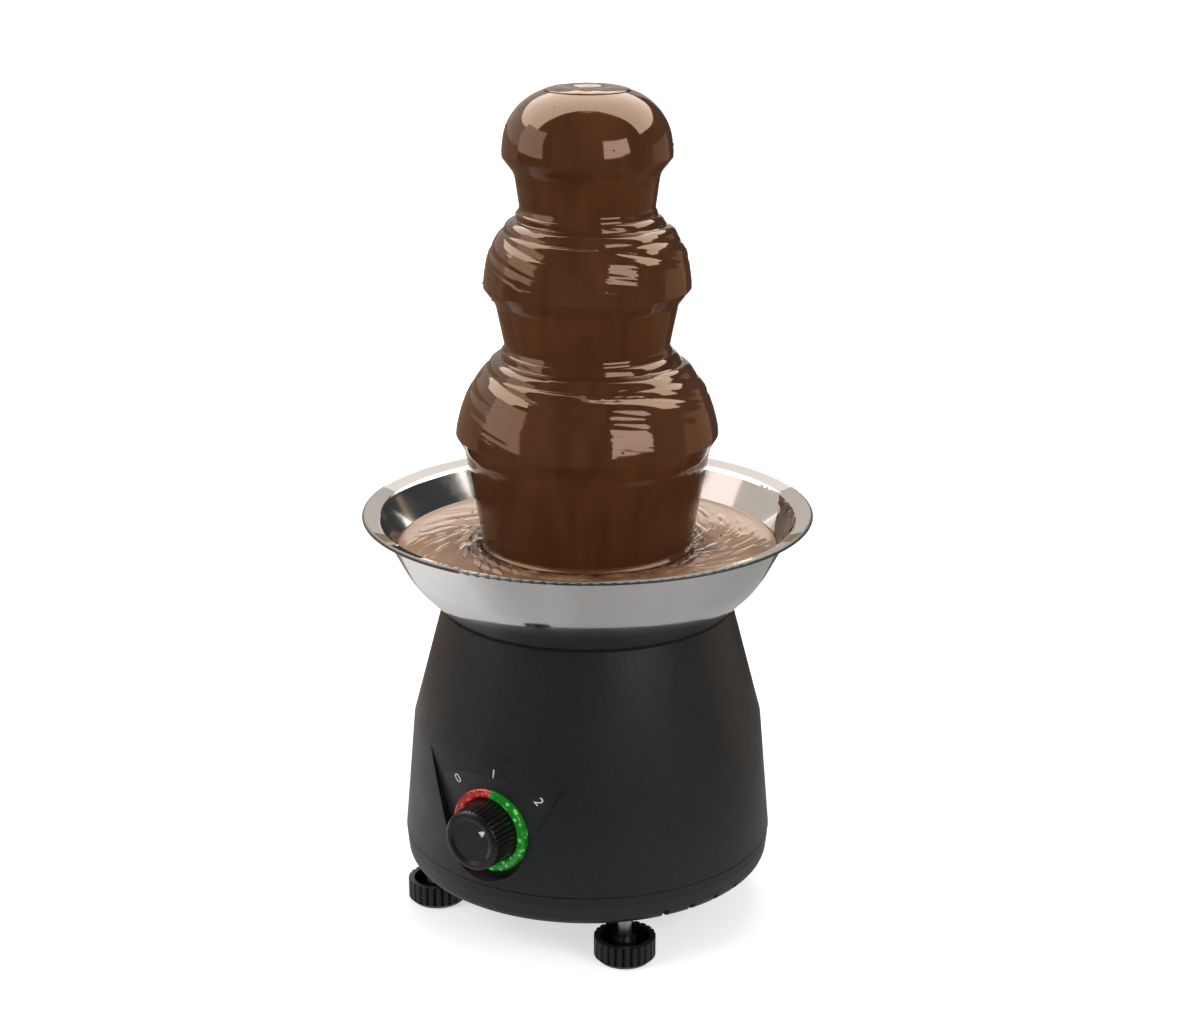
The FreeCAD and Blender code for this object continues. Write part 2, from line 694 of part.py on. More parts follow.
def housing_shell():
    """Moulded skirt with its deck, dial recess, screw bosses and hanging posts for the gearbox."""
    path = housing_profile()
    top_chamfer = HOUSING_WALL + SEAT
    whole = turned(path + [(0, housing_top), (0, housing_bottom)])
    shell = turned(skirt(path, HOUSING_WALL, housing_bottom, housing_top))
    seat_cone = turned([
        (0, housing_top + top_chamfer),
        (HOUSING_TOP_RADIUS + top_chamfer, housing_top + top_chamfer),
        (HOUSING_TOP_RADIUS - 2 * top_chamfer, housing_top - 2 * top_chamfer),
        (0, housing_top - 2 * top_chamfer),
    ])
    deck = turned([
        (DECK_HOLE, deck_level),
        (housing_inner_radius(deck_level) + HOUSING_WALL, deck_level),
        (housing_inner_radius(deck_level) + HOUSING_WALL, deck_level - DECK_WALL),
        (DECK_HOLE, deck_level - DECK_WALL),
    ])
    pad = recess_outline(RECESS_WALL).common(whole).cut(recess_drum(RECESS_CURVE - RECESS_WALL))
    dial_boss = to_dial(cylinder(DIAL_BOSS_RADIUS, dial_back, RECESS_FRONT - DIAL_BOSS_LAP)).common(whole)
    boss_x = TRAY_SCREW_CIRCLE_RADIUS
    boss = cylinder(SCREW_BOSS_RADIUS, tray_floor, housing_bottom + SCREW_BOSS_RISE, boss_x)
    rib = block(boss_x, TRAY_RADIUS, -RIB_WALL / 2, RIB_WALL / 2, housing_bottom + TONGUE_RISE + LOOSE,
                housing_bottom + SCREW_BOSS_RISE)
    bosses = around(boss.fuse(rib.common(whole)), screw_angles)
    posts = [cylinder(POST_RADIUS, upper_plate_top, deck_level - DECK_WALL, x, y) for x, y in post_places]
    shell = shell.fuse([deck, pad, dial_boss] + bosses + posts)
    recess = recess_outline(0).cut(recess_drum(RECESS_CURVE))
    ring_seat = to_dial(ring(RING_RADIUS + SEAT, ring_inner - SEAT, ring_back, TRAY_RADIUS))
    neck_hole = to_dial(cylinder(NECK_RADIUS + SEAT, 0, TRAY_RADIUS))
    lamp_holes = [to_dial(cylinder(LAMP_RADIUS + SEAT, 0, TRAY_RADIUS, x, y)) for x, y in lamp_places()]
    pilot = cylinder(TRAY_SCREW_RADIUS + SNUG, 0, tray_floor + TRAY_SCREW_LENGTH, boss_x)
    post_pilot = cylinder(POST_SCREW_RADIUS + SNUG, 0, upper_plate_top + POST_SCREW_BITE + PILOT_ROOM)
    post_pilots = [moved(post_pilot, x, y) for x, y in post_places]
    stud_hole = cylinder(BOWL_STUD_RADIUS + LOOSE, deck_level - DECK_WALL, deck_level, bowl_stud_circle)
    inlet = inlet_bore(INLET_RADIUS + SEAT)
    holes = around(pilot, screw_angles) + post_pilots + around(stud_hole, stud_angles) + lamp_holes
    return shell.cut([seat_cone, recess, ring_seat, neck_hole, inlet] + holes).removeSplitter()


def lamp_places():
    """Places of the two indicator lamps on the dial, each in the middle of its half of the ring."""
    middle = (RING_RADIUS + ring_inner) / 2
    red, green = polar(middle, 90 - RING_SPLIT + LAMP_ANGLE), polar(middle, 90 - RING_SPLIT - LAMP_ANGLE)
    return [(red.x, red.y), (green.x, green.y)]


def inlet_bore(radius):
    """Round bar through the rear wall where the mains cord would enter."""
    return Part.makeCylinder(radius, TRAY_RADIUS, FreeCAD.Vector(0, 0, housing_bottom + INLET_RISE), Y_AXIS)


def cord_inlet():
    """Bush in the rear wall with a flange on each side of it."""
    level = housing_bottom + INLET_RISE
    wall_outside = housing_inner_radius(level) + HOUSING_WALL + LOOSE
    wall_inside = wall_outside - HOUSING_WALL - INLET_FLANGE
    small_radius = INLET_FLANGE_RADIUS - INLET_CHAMFER
    flange = wall_outside + INLET_STANDOFF
    end = flange + INLET_FLANGE
    bush = turned([
        (INLET_BORE, wall_inside - INLET_FLANGE),
        (small_radius, wall_inside - INLET_FLANGE),
        (small_radius, wall_inside),
        (INLET_RADIUS, wall_inside),
        (INLET_RADIUS, flange),
        (INLET_FLANGE_RADIUS, flange),
        (INLET_FLANGE_RADIUS, end - INLET_CHAMFER),
        (small_radius, end),
        (INLET_BORE, end),
    ])
    bush.rotate(ORIGIN, X_AXIS, -90)
    return moved(bush, z=level)


def terminal_block():
    """Screw terminal block on the floor of the tray."""
    half = TERMINAL_LENGTH / 2
    top = tray_floor + TERMINAL_HEIGHT
    body = block(-TERMINAL_WIDTH / 2, TERMINAL_WIDTH / 2, -half, half, tray_floor, top)
    step = TERMINAL_LENGTH / TERMINAL_WAYS
    slot_bottom = tray_floor + TERMINAL_SLOT_RISE
    slot_top = slot_bottom + TERMINAL_SLOT_HEIGHT
    slots = []
    for way in range(TERMINAL_WAYS):
        middle = -half + (way + 0.5) * step
        left, right = middle - TERMINAL_SLOT / 2, middle + TERMINAL_SLOT / 2
        slots.append(block(-TERMINAL_WIDTH, TERMINAL_WIDTH, left, right, slot_bottom, slot_top))
        slots.append(cylinder(TERMINAL_SCREW_RADIUS, slot_top, top, 0, middle))
    body = moved(body.cut(slots), TERMINAL_CIRCLE_RADIUS)
    return spun(body, TERMINAL_ANGLE)


# Dial

def dial_ring(start_angle):
    """Half of the translucent ring round the knob, counter-clockwise from an angle."""
    profile = section([
        (ring_inner, ring_back + SEAT),
        (RING_RADIUS, ring_back + SEAT),
        (RING_RADIUS, RECESS_FRONT + RING_PROUD, RING_ROUND),
        (ring_inner, RECESS_FRONT + RING_PROUD, RING_ROUND),
    ])
    half = outward(profile.revolve(ORIGIN, Z_AXIS, 180.0 - 2 * RING_SPLIT_GAP))
    return to_dial(spun(half, start_angle + RING_SPLIT_GAP))


def control_knob():
    """Ribbed knob with a dished face, hollow behind over the nut of the switch."""
    front = knob_base + KNOB_LENGTH
    face_level = front - KNOB_DISH
    boss_bottom = RECESS_FRONT + NUT_WALL + NECK_PROUD + KNOB_BOSS_GAP
    cavity_top = front - 2 * KNOB_WALL
    knob = turned([
        (0, knob_base),
        (KNOB_BASE_RADIUS, knob_base),
        (KNOB_FRONT_RADIUS, front, KNOB_ROUND),
        (KNOB_DISH_RADIUS, front),
        (KNOB_DISH_RADIUS - 2 * KNOB_DISH, face_level),
        (0, face_level),
    ])
    cavity = turned([
        (0, knob_base),
        (KNOB_BASE_RADIUS - KNOB_WALL, knob_base),
        (KNOB_FRONT_RADIUS - KNOB_WALL, cavity_top),
        (KNOB_BOSS_RADIUS, cavity_top),
        (KNOB_BOSS_RADIUS, boss_bottom),
        (0, boss_bottom),
    ])
    bore = cylinder(SPINDLE_RADIUS + SNUG, boss_bottom, cavity_top + SPINDLE_ROOM)
    lean = math.degrees(math.atan2(KNOB_BASE_RADIUS - KNOB_FRONT_RADIUS, KNOB_LENGTH))
    groove = prism([
        (-KNOB_RIB_DEPTH, 0.0),
        (KNOB_RIB_DEPTH, -KNOB_RIB_FLARE),
        (KNOB_RIB_DEPTH, KNOB_RIB_FLARE),
    ], KNOB_SKIRT, KNOB_LENGTH - KNOB_ROUND / 2)
    groove.rotate(ORIGIN, Y_AXIS, -lean)
    groove = moved(groove, KNOB_BASE_RADIUS, 0, knob_base)
    grooves = around(groove, [360.0 * step / KNOB_RIBS for step in range(KNOB_RIBS)])
    return to_dial(knob.cut([cavity, bore] + grooves))


def switch_shaft():
    """Spindle of the rotary switch."""
    top = knob_base + KNOB_LENGTH - 2 * KNOB_WALL
    return to_dial(cylinder(SPINDLE_RADIUS, dial_back - SWITCH_DEPTH / 2, top))


def switch_body():
    """Rotary switch with a threaded neck and three terminal tabs."""
    half = SWITCH_SIZE / 2
    back = dial_back - SWITCH_DEPTH
    body = block(-half, half, -half, half, back, dial_back)
    neck = cylinder(NECK_RADIUS, dial_back, RECESS_FRONT + NUT_WALL + NECK_PROUD)
    tab = block(-TAB_WALL / 2, TAB_WALL / 2, -half / 2, half / 2, back - SWITCH_TAB, back)
    tabs = [moved(tab, x) for x in (-half / 2, 0.0, half / 2)]
    bore = cylinder(SPINDLE_RADIUS + RUNNING, dial_back - SWITCH_DEPTH / 2 - LOOSE, TRAY_RADIUS)
    return to_dial(body.fuse([neck] + tabs).cut(bore))


def switch_nut():
    """Nut on the neck of the switch, in front of the wall."""
    nut = hexagon(SWITCH_NUT_FLATS, RECESS_FRONT, RECESS_FRONT + NUT_WALL)
    return to_dial(nut.cut(cylinder(NECK_RADIUS + SNUG, 0, TRAY_RADIUS)))


def lamp_board():
    """Round board behind the dial with a square opening for the switch."""
    half = SWITCH_SIZE / 2 + LOOSE
    board = cylinder(DIAL_BOSS_RADIUS - BOARD_MARGIN, dial_back - BOARD_WALL, dial_back)
    return to_dial(board.cut(block(-half, half, -half, half, 0, TRAY_RADIUS)))


def indicator_lamps():
    """Red and green lamp, each behind its half of the ring."""
    return [to_dial(cylinder(LAMP_RADIUS, dial_back, ring_back - SEAT, x, y)) for x, y in lamp_places()]


# Bowl and heater

def bowl_profile():
    """Underside of the bowl, from its centre hole out to the end of the lip."""
    lip = heading(LIP_SLOPE)
    lip_end = (BOWL_RADIUS - LIP_BEAD, bowl_lip - LIP_BEAD)
    lip_start = (lip_end[0] - LIP_WIDTH * lip[0], lip_end[1] - LIP_WIDTH * lip[1])
    knee_rise = BOWL_KNEE_OUTSET * math.tan(math.radians(BOWL_CONE))
    return [
        (HUB_RADIUS + SNUG, bowl_bottom),
        (BOWL_FLOOR_RADIUS, bowl_bottom, BOWL_FLOOR_ROUND),
        (HOUSING_TOP_RADIUS + BOWL_KNEE_OUTSET, bowl_seat + knee_rise, BOWL_KNEE_ROUND),
        (lip_start[0], lip_start[1], LIP_BEND),
        lip_end,
    ]


def bowl():
    """Deep-drawn bowl with a flared lip that ends in a rolled bead."""
    body = turned(sheet(bowl_profile(), BOWL_WALL))
    bead = Part.makeTorus(BOWL_RADIUS - LIP_BEAD, LIP_BEAD, FreeCAD.Vector(0, 0, bowl_lip - LIP_BEAD))
    return body.fuse(bead)


def bowl_gasket():
    """Soft ring between the sloping edge of the housing and the cone of the bowl."""
    cone = heading(BOWL_CONE)
    length = (HOUSING_WALL - 2 * SEAT) / cone[0]
    start = (HOUSING_TOP_RADIUS - SEAT, housing_top - SEAT + SEAT * math.sqrt(2))
    end = (start[0] - length * cone[0], start[1] - length * cone[1])
    return turned(sheet([start, end], -GASKET_WALL))


def bowl_pins():
    """Pins welded to the bowl: threaded studs under it and locating pins for the tower on its floor."""
    bottom = deck_level - DECK_WALL - BOWL_NUT_WALL - BOWL_STUD_TAIL
    studs = around(cylinder(BOWL_STUD_RADIUS, bottom, bowl_bottom, bowl_stud_circle), stud_angles)
    pins = around(cylinder(PIN_RADIUS, bowl_floor, bowl_floor + PIN_RISE, pin_circle), pin_angles)
    return studs + pins


def bowl_nuts():
    """Two nuts on each stud: one holds the heater plate, one pulls the bowl down on the deck."""
    nuts = []
    for top in (heater_bottom, deck_level - DECK_WALL):
        nut = hexagon(BOWL_NUT_FLATS, top - BOWL_NUT_WALL, top, bowl_stud_circle)
        nuts += around(nut.cut(cylinder(BOWL_STUD_RADIUS + SNUG, 0, top, bowl_stud_circle)), stud_angles)
    return nuts


def heater_plate():
    """Aluminium ring against the underside of the bowl with a groove for the element."""
    plate = ring(heater_outer, heater_inner, heater_bottom, bowl_bottom)
    centre = FreeCAD.Vector(0, 0, heater_bottom)
    groove = Part.makeTorus(ELEMENT_CIRCLE_RADIUS, ELEMENT_RADIUS + RUNNING, centre)
    stud_hole = cylinder(BOWL_STUD_RADIUS + SEAT, heater_bottom, bowl_bottom, bowl_stud_circle)
    return plate.cut([groove] + around(stud_hole, stud_angles))


def heater_element():
    """Sheathed element bent into a ring, with its two terminals turned down."""
    loop = Part.makeCircle(ELEMENT_RADIUS, FreeCAD.Vector(ELEMENT_CIRCLE_RADIUS, 0, heater_bottom), Y_AXIS)
    body = outward(Part.Face(Part.Wire(loop)).revolve(ORIGIN, Z_AXIS, ELEMENT_TURN))
    bottom = heater_bottom - ELEMENT_RADIUS - ELEMENT_TERMINAL
    first = cylinder(ELEMENT_RADIUS / 2, bottom, heater_bottom, ELEMENT_CIRCLE_RADIUS, ELEMENT_RADIUS / 2)
    end = polar(ELEMENT_CIRCLE_RADIUS, ELEMENT_TURN - ELEMENT_END_ANGLE)
    second = cylinder(ELEMENT_RADIUS / 2, bottom, heater_bottom, end.x, end.y)
    return spun(body.fuse([first, second]), (360.0 - ELEMENT_TURN) / 2)


def thermostat():
    """Disc thermostat against the heater plate."""
    bottom = heater_bottom - THERMOSTAT_HEIGHT
    body = cylinder(THERMOSTAT_RADIUS, bottom, heater_bottom, 0, SENSOR_CIRCLE_RADIUS)
    tab = block(-THERMOSTAT_TAB_WIDTH / 2, THERMOSTAT_TAB_WIDTH / 2, -TAB_WALL / 2, TAB_WALL / 2,
                bottom - THERMOSTAT_TAB, bottom)
    tabs = [moved(tab, x, SENSOR_CIRCLE_RADIUS) for x in (-THERMOSTAT_TAB_OUTSET, THERMOSTAT_TAB_OUTSET)]
    return body.fuse(tabs)


def thermal_fuse():
    """Thermal fuse held under a clip against the heater plate."""
    half = FUSE_LENGTH / 2
    clip_half = FUSE_RADIUS + FUSE_CLIP_WALL
    base = FreeCAD.Vector(-half, -SENSOR_CIRCLE_RADIUS, heater_bottom - FUSE_RADIUS)
    fuse = Part.makeCylinder(FUSE_RADIUS, FUSE_LENGTH, base, X_AXIS)
    clip = block(-half / 2, half / 2, -SENSOR_CIRCLE_RADIUS - clip_half, -SENSOR_CIRCLE_RADIUS + clip_half,
                 heater_bottom - 2 * FUSE_RADIUS - FUSE_CLIP_WALL, heater_bottom)
    return fuse.fuse(clip)


def shaft_hub():
    """Bearing sleeve through the bowl floor, with a recess for the shaft seal in its top."""
    hub = turned([
        (SHAFT_RADIUS + RUNNING, hub_bottom),
        (HUB_RADIUS, hub_bottom),
        (HUB_RADIUS, bowl_floor),
        (HUB_FLANGE_RADIUS, bowl_floor),
        (HUB_FLANGE_RADIUS, bowl_floor + HUB_FLANGE / 2),
        (HUB_FLANGE_RADIUS - HUB_FLANGE / 2, bowl_floor + HUB_FLANGE),
        (HUB_RADIUS, bowl_floor + HUB_FLANGE),
        (HUB_RADIUS, hub_top),
        (SEAL_RADIUS + SNUG, hub_top),
        (SEAL_RADIUS + SNUG, hub_top - SEAL_WALL),
        (SHAFT_RADIUS + RUNNING, hub_top - SEAL_WALL),
    ])
    return hub


def hub_nut():
    """Large nut that clamps the hub to the bowl floor."""
    nut = hexagon(HUB_NUT_FLATS, bowl_bottom - HUB_NUT_WALL, bowl_bottom)
    return nut.cut(cylinder(HUB_RADIUS + SNUG, 0, bowl_bottom))


def shaft_seal():
    """Lip seal round the drive shaft."""
    return ring(SEAL_RADIUS, SHAFT_RADIUS + RUNNING, hub_top - SEAL_WALL, hub_top)


def chocolate_pool():
    """Melted chocolate in the bowl, open in the middle round the foot of the tower."""
    wetted = parallel(bowl_profile(), BOWL_WALL + LOOSE)
    floor_level = wetted[0][1]
    inside = turned([(0, floor_level)] + wetted[1:] + [(0, wetted[-1][1])])
    return inside.common(ring(BOWL_RADIUS, pool_hole, floor_level, pool_level))


# Tower

def crown_dome():
    """Outline of the chocolate over the crown."""
    top = (TUBE_BORE, crown_top)
    lip = (CROWN_LIP_RADIUS, crown_lip)
    return [top, bulged(top, lip, CROWN_BULGE), lip]


def middle_dome():
    """Outline of the chocolate over the middle tier."""
    neck = (MIDDLE_NECK_RADIUS, middle_neck, NECK_ROUND)
    lip = (MIDDLE_LIP_RADIUS, middle_lip)
    return [neck, bulged(neck, lip, MIDDLE_BULGE), lip]


def lower_dome():
    """Outline of the chocolate over the lower tier."""
    neck = (LOWER_NECK_RADIUS, lower_neck, NECK_ROUND)
    lip = (LOWER_LIP_RADIUS, lower_lip)
    return [neck, bulged(neck, lip, LOWER_BULGE), lip]


def under_lip(dome, undercut_radius, undercut_drop):
    """Turns of the chocolate below a dome: on past its lip, then back in to the top of the curtain."""
    lip = dome[2]
    along = unit(dome[1], lip)
    return [
        (lip[0] + LIP_DROP * along[0], lip[1] + LIP_DROP * along[1], LIP_ROUND),
        (undercut_radius, lip[1] - undercut_drop, UNDERCUT_ROUND),
    ]


def chocolate_coat():
    """Chocolate over the tiers: the film on each dome and the curtain that falls from its lip."""
    crown, middle, lower = crown_dome(), middle_dome(), lower_dome()
    path = crown[:2] + under_lip(crown, CROWN_UNDERCUT_RADIUS, CROWN_UNDERCUT_DROP)
    path += middle[:2] + under_lip(middle, MIDDLE_UNDERCUT_RADIUS, MIDDLE_UNDERCUT_DROP)
    path += lower[:2] + under_lip(lower, LOWER_UNDERCUT_RADIUS, LOWER_UNDERCUT_DROP)
    path += [(CURTAIN_FOOT_RADIUS, pool_level + LOOSE)]
    body = turned(sheet(path, -COAT_WALL, CROWN_LIP_RADIUS / 2))
    body = body.cut(cylinder(TUBE_BORE, crown_lip, crown_top + COAT_WALL))
    levels = [
        crown_top + COAT_WALL,
        crown_lip - CROWN_UNDERCUT_DROP,
        middle_neck,
        middle_lip - MIDDLE_UNDERCUT_DROP,
        lower_neck,
        lower_lip - LOWER_UNDERCUT_DROP,
        pool_level + LOOSE,
    ]
    bands = [cylinder(2 * LOWER_LIP_RADIUS, bottom, top) for top, bottom in zip(levels, levels[1:])]
    return [body.common(band) for band in bands]


def tier_shell(dome, inner_radius):
    """Domed shell under one dome of chocolate, carried in to inner_radius and down at its rim."""
    top = parallel(dome, -(COAT_WALL + LOOSE))
    slope = unit(top[0], top[1])
    inner = crossing(top[0], slope, (inner_radius, 0), (0.0, 1.0))
    rim = (top[2][0], top[2][1] - TIER_RIM)
    corner = (top[1][0], top[1][1], rounding(top[1]))
    return turned(sheet([inner, corner, (top[2][0], top[2][1], TIER_RIM_ROUND), rim], -TIER_WALL)), inner[1]


def tier(dome):
    """Tier: a domed shell on a sleeve that slips over the tube, and the height of its sleeve's bottom."""
    sleeve_inner = tube_radius + RUNNING
    sleeve_outer = sleeve_inner + SLEEVE_WALL
    shell, top = tier_shell(dome, sleeve_inner + SLEEVE_WALL / 2)
    bottom = top - SLEEVE_LENGTH
    sleeve = ring(sleeve_outer, sleeve_inner, bottom, top - TIER_WALL / 2)
    bore = cylinder(sleeve_inner, bottom, top + TIER_WALL)
    return shell.fuse(sleeve).cut(bore).removeSplitter(), bottom


def crown():
    """Crown: a domed shell round the throat that the chocolate wells out of, with a sleeve on the tube."""
    shell, top = tier_shell(crown_dome(), TUBE_BORE + TIER_WALL / 2)
    sleeve_inner = tube_radius + RUNNING
    socket = turned([
        (TUBE_BORE, tube_top),
        (TUBE_BORE, top - TIER_WALL / 2),
        (TUBE_BORE + TIER_WALL, top - TIER_WALL / 2),
        (TUBE_BORE + TIER_WALL, tube_top + SLEEVE_WALL + THROAT_SLOPE),
        (sleeve_inner + SLEEVE_WALL, tube_top + SLEEVE_WALL),
        (sleeve_inner + SLEEVE_WALL, tube_top - CROWN_SLEEVE),
        (sleeve_inner, tube_top - CROWN_SLEEVE),
        (sleeve_inner, tube_top),
    ])
    bore = cylinder(TUBE_BORE, tube_top, crown_top)
    return shell.fuse(socket).cut(bore).removeSplitter()


def tower_tube():
    """Tube with a foot flange over the locating pins and inlet windows just above it."""
    tube = ring(tube_radius, TUBE_BORE, tower_foot, tube_top)
    flange = ring(flange_radius, TUBE_BORE, tower_foot, tower_foot + FLANGE_WALL)
    pin_hole = cylinder(PIN_RADIUS + RUNNING, 0, tower_foot + FLANGE_WALL, pin_circle)
    window_bottom = tower_foot + FLANGE_WALL
    window = block(0, flange_radius, -WINDOW_WIDTH / 2, WINDOW_WIDTH / 2, window_bottom,
                   window_bottom + WINDOW_HEIGHT)
    holes = around(pin_hole, pin_angles) + around(window, window_angles)
    return tube.fuse(flange).cut(holes).removeSplitter()


def tier_clips(levels):
    """Rings on the tube that the sleeves of the two tiers rest on."""
    inner = tube_radius + SNUG
    return [ring(inner + CLIP_REACH, inner, level - CLIP_WALL, level) for level in levels]


# Auger and drive

def flats_socket(radius, flat, bottom, top):
    """Round bar with two flats, flat being their distance from the axis."""
    return cylinder(radius, bottom, top).common(block(-flat, flat, -radius, radius, bottom, top))


def auger_screw():
    """Core with a helical flight, and a socket with two flats in its bottom."""
    start = auger_bottom + AUGER_START
    helix = Part.makeHelix(AUGER_PITCH, tube_top - AUGER_TOP_GAP - start, auger_radius)
    profile = Part.makePolygon([FreeCAD.Vector(r, 0, z) for r, z in (
        (AUGER_CORE - FLIGHT_ROOT, -AUGER_FLIGHT_WALL / 2),
        (auger_radius, -AUGER_FLIGHT_WALL / 2),
        (auger_radius, AUGER_FLIGHT_WALL / 2),
        (AUGER_CORE - FLIGHT_ROOT, AUGER_FLIGHT_WALL / 2),
        (AUGER_CORE - FLIGHT_ROOT, -AUGER_FLIGHT_WALL / 2),
    )])
    flight = moved(outward(Part.Wire(helix).makePipeShell([profile], True, True)), z=start)
    socket = flats_socket(SHAFT_RADIUS + RUNNING, SHAFT_FLAT + RUNNING, auger_bottom, socket_top + LOOSE)
    return cylinder(AUGER_CORE, auger_bottom, well_bottom).fuse(flight).cut(socket)


def chocolate_well():
    """Chocolate that wells out of the throat of the crown, with a small crater in the middle."""
    edge = crown_top
    crest = edge + WELL_CREST
    return turned([
        (0, well_bottom),
        (well_radius, well_bottom),
        (well_radius, edge),
        (WELL_CREST_RADIUS, crest, WELL_ROUND),
        (WELL_CREST_RADIUS - WELL_CRATER_SLOPE, crest - WELL_CRATER, WELL_ROUND),
        (0, crest - WELL_CRATER),
    ])


def drive_shaft():
    """Steel shaft from the output gear up through the bowl hub, with two flats for the auger."""
    top = socket_top
    round_part = cylinder(SHAFT_RADIUS, second_wheel, auger_bottom)
    driver = flats_socket(SHAFT_RADIUS, SHAFT_FLAT, auger_bottom, top)
    bottom = bush_top + LOOSE
    groove = ring(CIRCLIP_RADIUS, SHAFT_RADIUS - CIRCLIP_GROOVE, bottom, bottom + CIRCLIP_WALL)
    return round_part.fuse(driver).cut(groove)


def shaft_circlip():
    """Retaining ring in the groove of the drive shaft, above the output bush."""
    bottom = bush_top + LOOSE + SNUG
    top = bush_top + LOOSE + CIRCLIP_WALL - SNUG
    clip = ring(CIRCLIP_RADIUS, SHAFT_RADIUS - CIRCLIP_GROOVE + SNUG, bottom, top)
    return clip.cut(block(0, CIRCLIP_RADIUS, -CIRCLIP_OPENING / 2, CIRCLIP_OPENING / 2, bottom, top))


def involute(angle):
    """Involute function of a pressure angle in radians."""
    return math.tan(angle) - angle


def toothed(teeth, addendum, dedendum, steps, tooth_at, bottom, top, x=0.0):
    """Spur gear blank with involute teeth, one of them in the middle of the direction tooth_at."""
    pitch_radius = GEAR_MODULE * teeth / 2
    base_radius = pitch_radius * math.cos(math.radians(PRESSURE_ANGLE))
    tip_radius = pitch_radius + GEAR_MODULE * addendum
    root_radius = pitch_radius - GEAR_MODULE * dedendum
    start_radius = max(base_radius, root_radius)
    half_tooth = math.pi / (2 * teeth) - BACKLASH / (2 * pitch_radius)
    half_tooth += involute(math.radians(PRESSURE_ANGLE))
    flank = []
    for step in range(steps + 1):
        radius = start_radius + (tip_radius - start_radius) * step / steps
        flank.append((radius, math.degrees(half_tooth - involute(math.acos(base_radius / radius)))))
    if root_radius < start_radius:
        flank.insert(0, (root_radius, flank[0][1]))
    points = []
    for tooth in range(teeth):
        middle = tooth_at + 360.0 * tooth / teeth
        points += [polar(radius, middle - half) for radius, half in flank]
        points += [polar(radius, middle + half) for radius, half in reversed(flank)]
    return moved(prism([(point.x, point.y) for point in points], bottom, top), x)


def pinion(bottom, top, x=0.0):
    """Small gear of a step, with a tooth on the line of the axes."""
    return toothed(PINION_TEETH, PINION_ADDENDUM, WHEEL_ADDENDUM + TOOTH_CLEARANCE, 2, 0.0, bottom, top, x)


def wheel(bottom, top, x=0.0):
    """Large gear of a step, with a tooth space on the line of the axes."""
    half_step = 180.0 / WHEEL_TEETH
    dedendum = PINION_ADDENDUM + TOOTH_CLEARANCE
    return toothed(WHEEL_TEETH, WHEEL_ADDENDUM, dedendum, 1, half_step, bottom, top, x)


def rotor_pinion():
    """Pinion on the rotor shaft."""
    gear = pinion(pinion_bottom, pinion_bottom + PINION_WIDTH)
    return gear.cut(cylinder(ROTOR_SHAFT_RADIUS + SNUG, 0, upper_plate))


def idler_gear():
    """Wheel and pinion moulded in one on the idler pin."""
    x = centre_distance
    top = second_wheel + WHEEL_WIDTH + IDLER_PINION_LAP
    body = wheel(first_wheel, first_wheel + WHEEL_WIDTH, x).fuse([
        pinion(first_wheel + WHEEL_WIDTH, top, x),
        cylinder(IDLER_HUB_RADIUS, plate_top + LOOSE, upper_plate - LOOSE, x),
    ])
    return body.cut(cylinder(IDLER_PIN_RADIUS + RUNNING, 0, upper_plate, x))


def output_gear():
    """Wheel on the lower end of the drive shaft."""
    hub = cylinder(OUTPUT_HUB_RADIUS, second_wheel, bush_bottom - LOOSE)
    body = wheel(second_wheel, second_wheel + WHEEL_WIDTH).fuse(hub)
    return body.cut(cylinder(SHAFT_RADIUS + SNUG, 0, upper_plate))


def idler_pin():
    """Steel pin of the idler gear, held in both plates."""
    return cylinder(IDLER_PIN_RADIUS, plate_level, upper_plate_top, centre_distance)


def gearbox_plate(level):
    """Steel side plate of the gearbox, rounded at its corners, with holes for the posts and the idler pin."""
    left = -POST_OUTSET - PLATE_MARGIN
    right = centre_distance + POST_OUTSET + PLATE_MARGIN
    top = level + PLATE_WALL
    plate = block(left, right, -PLATE_HALF_WIDTH, PLATE_HALF_WIDTH, level, top)
    upright = [edge for edge in plate.Edges if abs(edge.Vertexes[0].Z - edge.Vertexes[-1].Z) > PLATE_WALL / 2]
    plate = plate.makeFillet(PLATE_CORNER, upright)
    holes = [cylinder(POST_SCREW_RADIUS + SEAT, level, top, x, y) for x, y in post_places]
    holes.append(cylinder(IDLER_PIN_RADIUS + SNUG, level, top, centre_distance))
    return plate.cut(holes)


def lower_plate():
    """Lower gearbox plate, which also carries the upper rotor bush and the motor."""
    holes = [cylinder(ROTOR_BUSH_RADIUS + SNUG, 0, upper_plate)]
    holes += [cylinder(MOTOR_SCREW_RADIUS + SEAT, 0, upper_plate, x, y) for x, y in motor_screw_places]
    return gearbox_plate(plate_level).cut(holes)


def upper_plate_body():
    """Upper gearbox plate, which carries the output bush and hangs from the posts of the deck."""
    return gearbox_plate(upper_plate).cut(cylinder(BUSH_RADIUS + SNUG, 0, deck_level))


def gearbox_spacers():
    """Tubes that hold the two plates apart."""
    return [ring(POST_RADIUS, POST_SCREW_RADIUS + SEAT, plate_top, upper_plate, x, y) for x, y in post_places]


def gearbox_screws():
    """Long screws through both plates into the posts of the housing."""
    head = cylinder(POST_SCREW_HEAD_RADIUS, plate_level - POST_SCREW_HEAD, plate_level)
    screw = head.fuse(cylinder(POST_SCREW_RADIUS, plate_level, upper_plate_top + POST_SCREW_BITE))
    return [moved(screw, x, y) for x, y in post_places]


def output_bush():
    """Flanged bush of the drive shaft in the upper plate."""
    return turned([
        (SHAFT_RADIUS + RUNNING, bush_bottom),
        (BUSH_FLANGE_RADIUS, bush_bottom),
        (BUSH_FLANGE_RADIUS, upper_plate),
        (BUSH_RADIUS, upper_plate),
        (BUSH_RADIUS, bush_top),
        (SHAFT_RADIUS + RUNNING, bush_top),
    ])


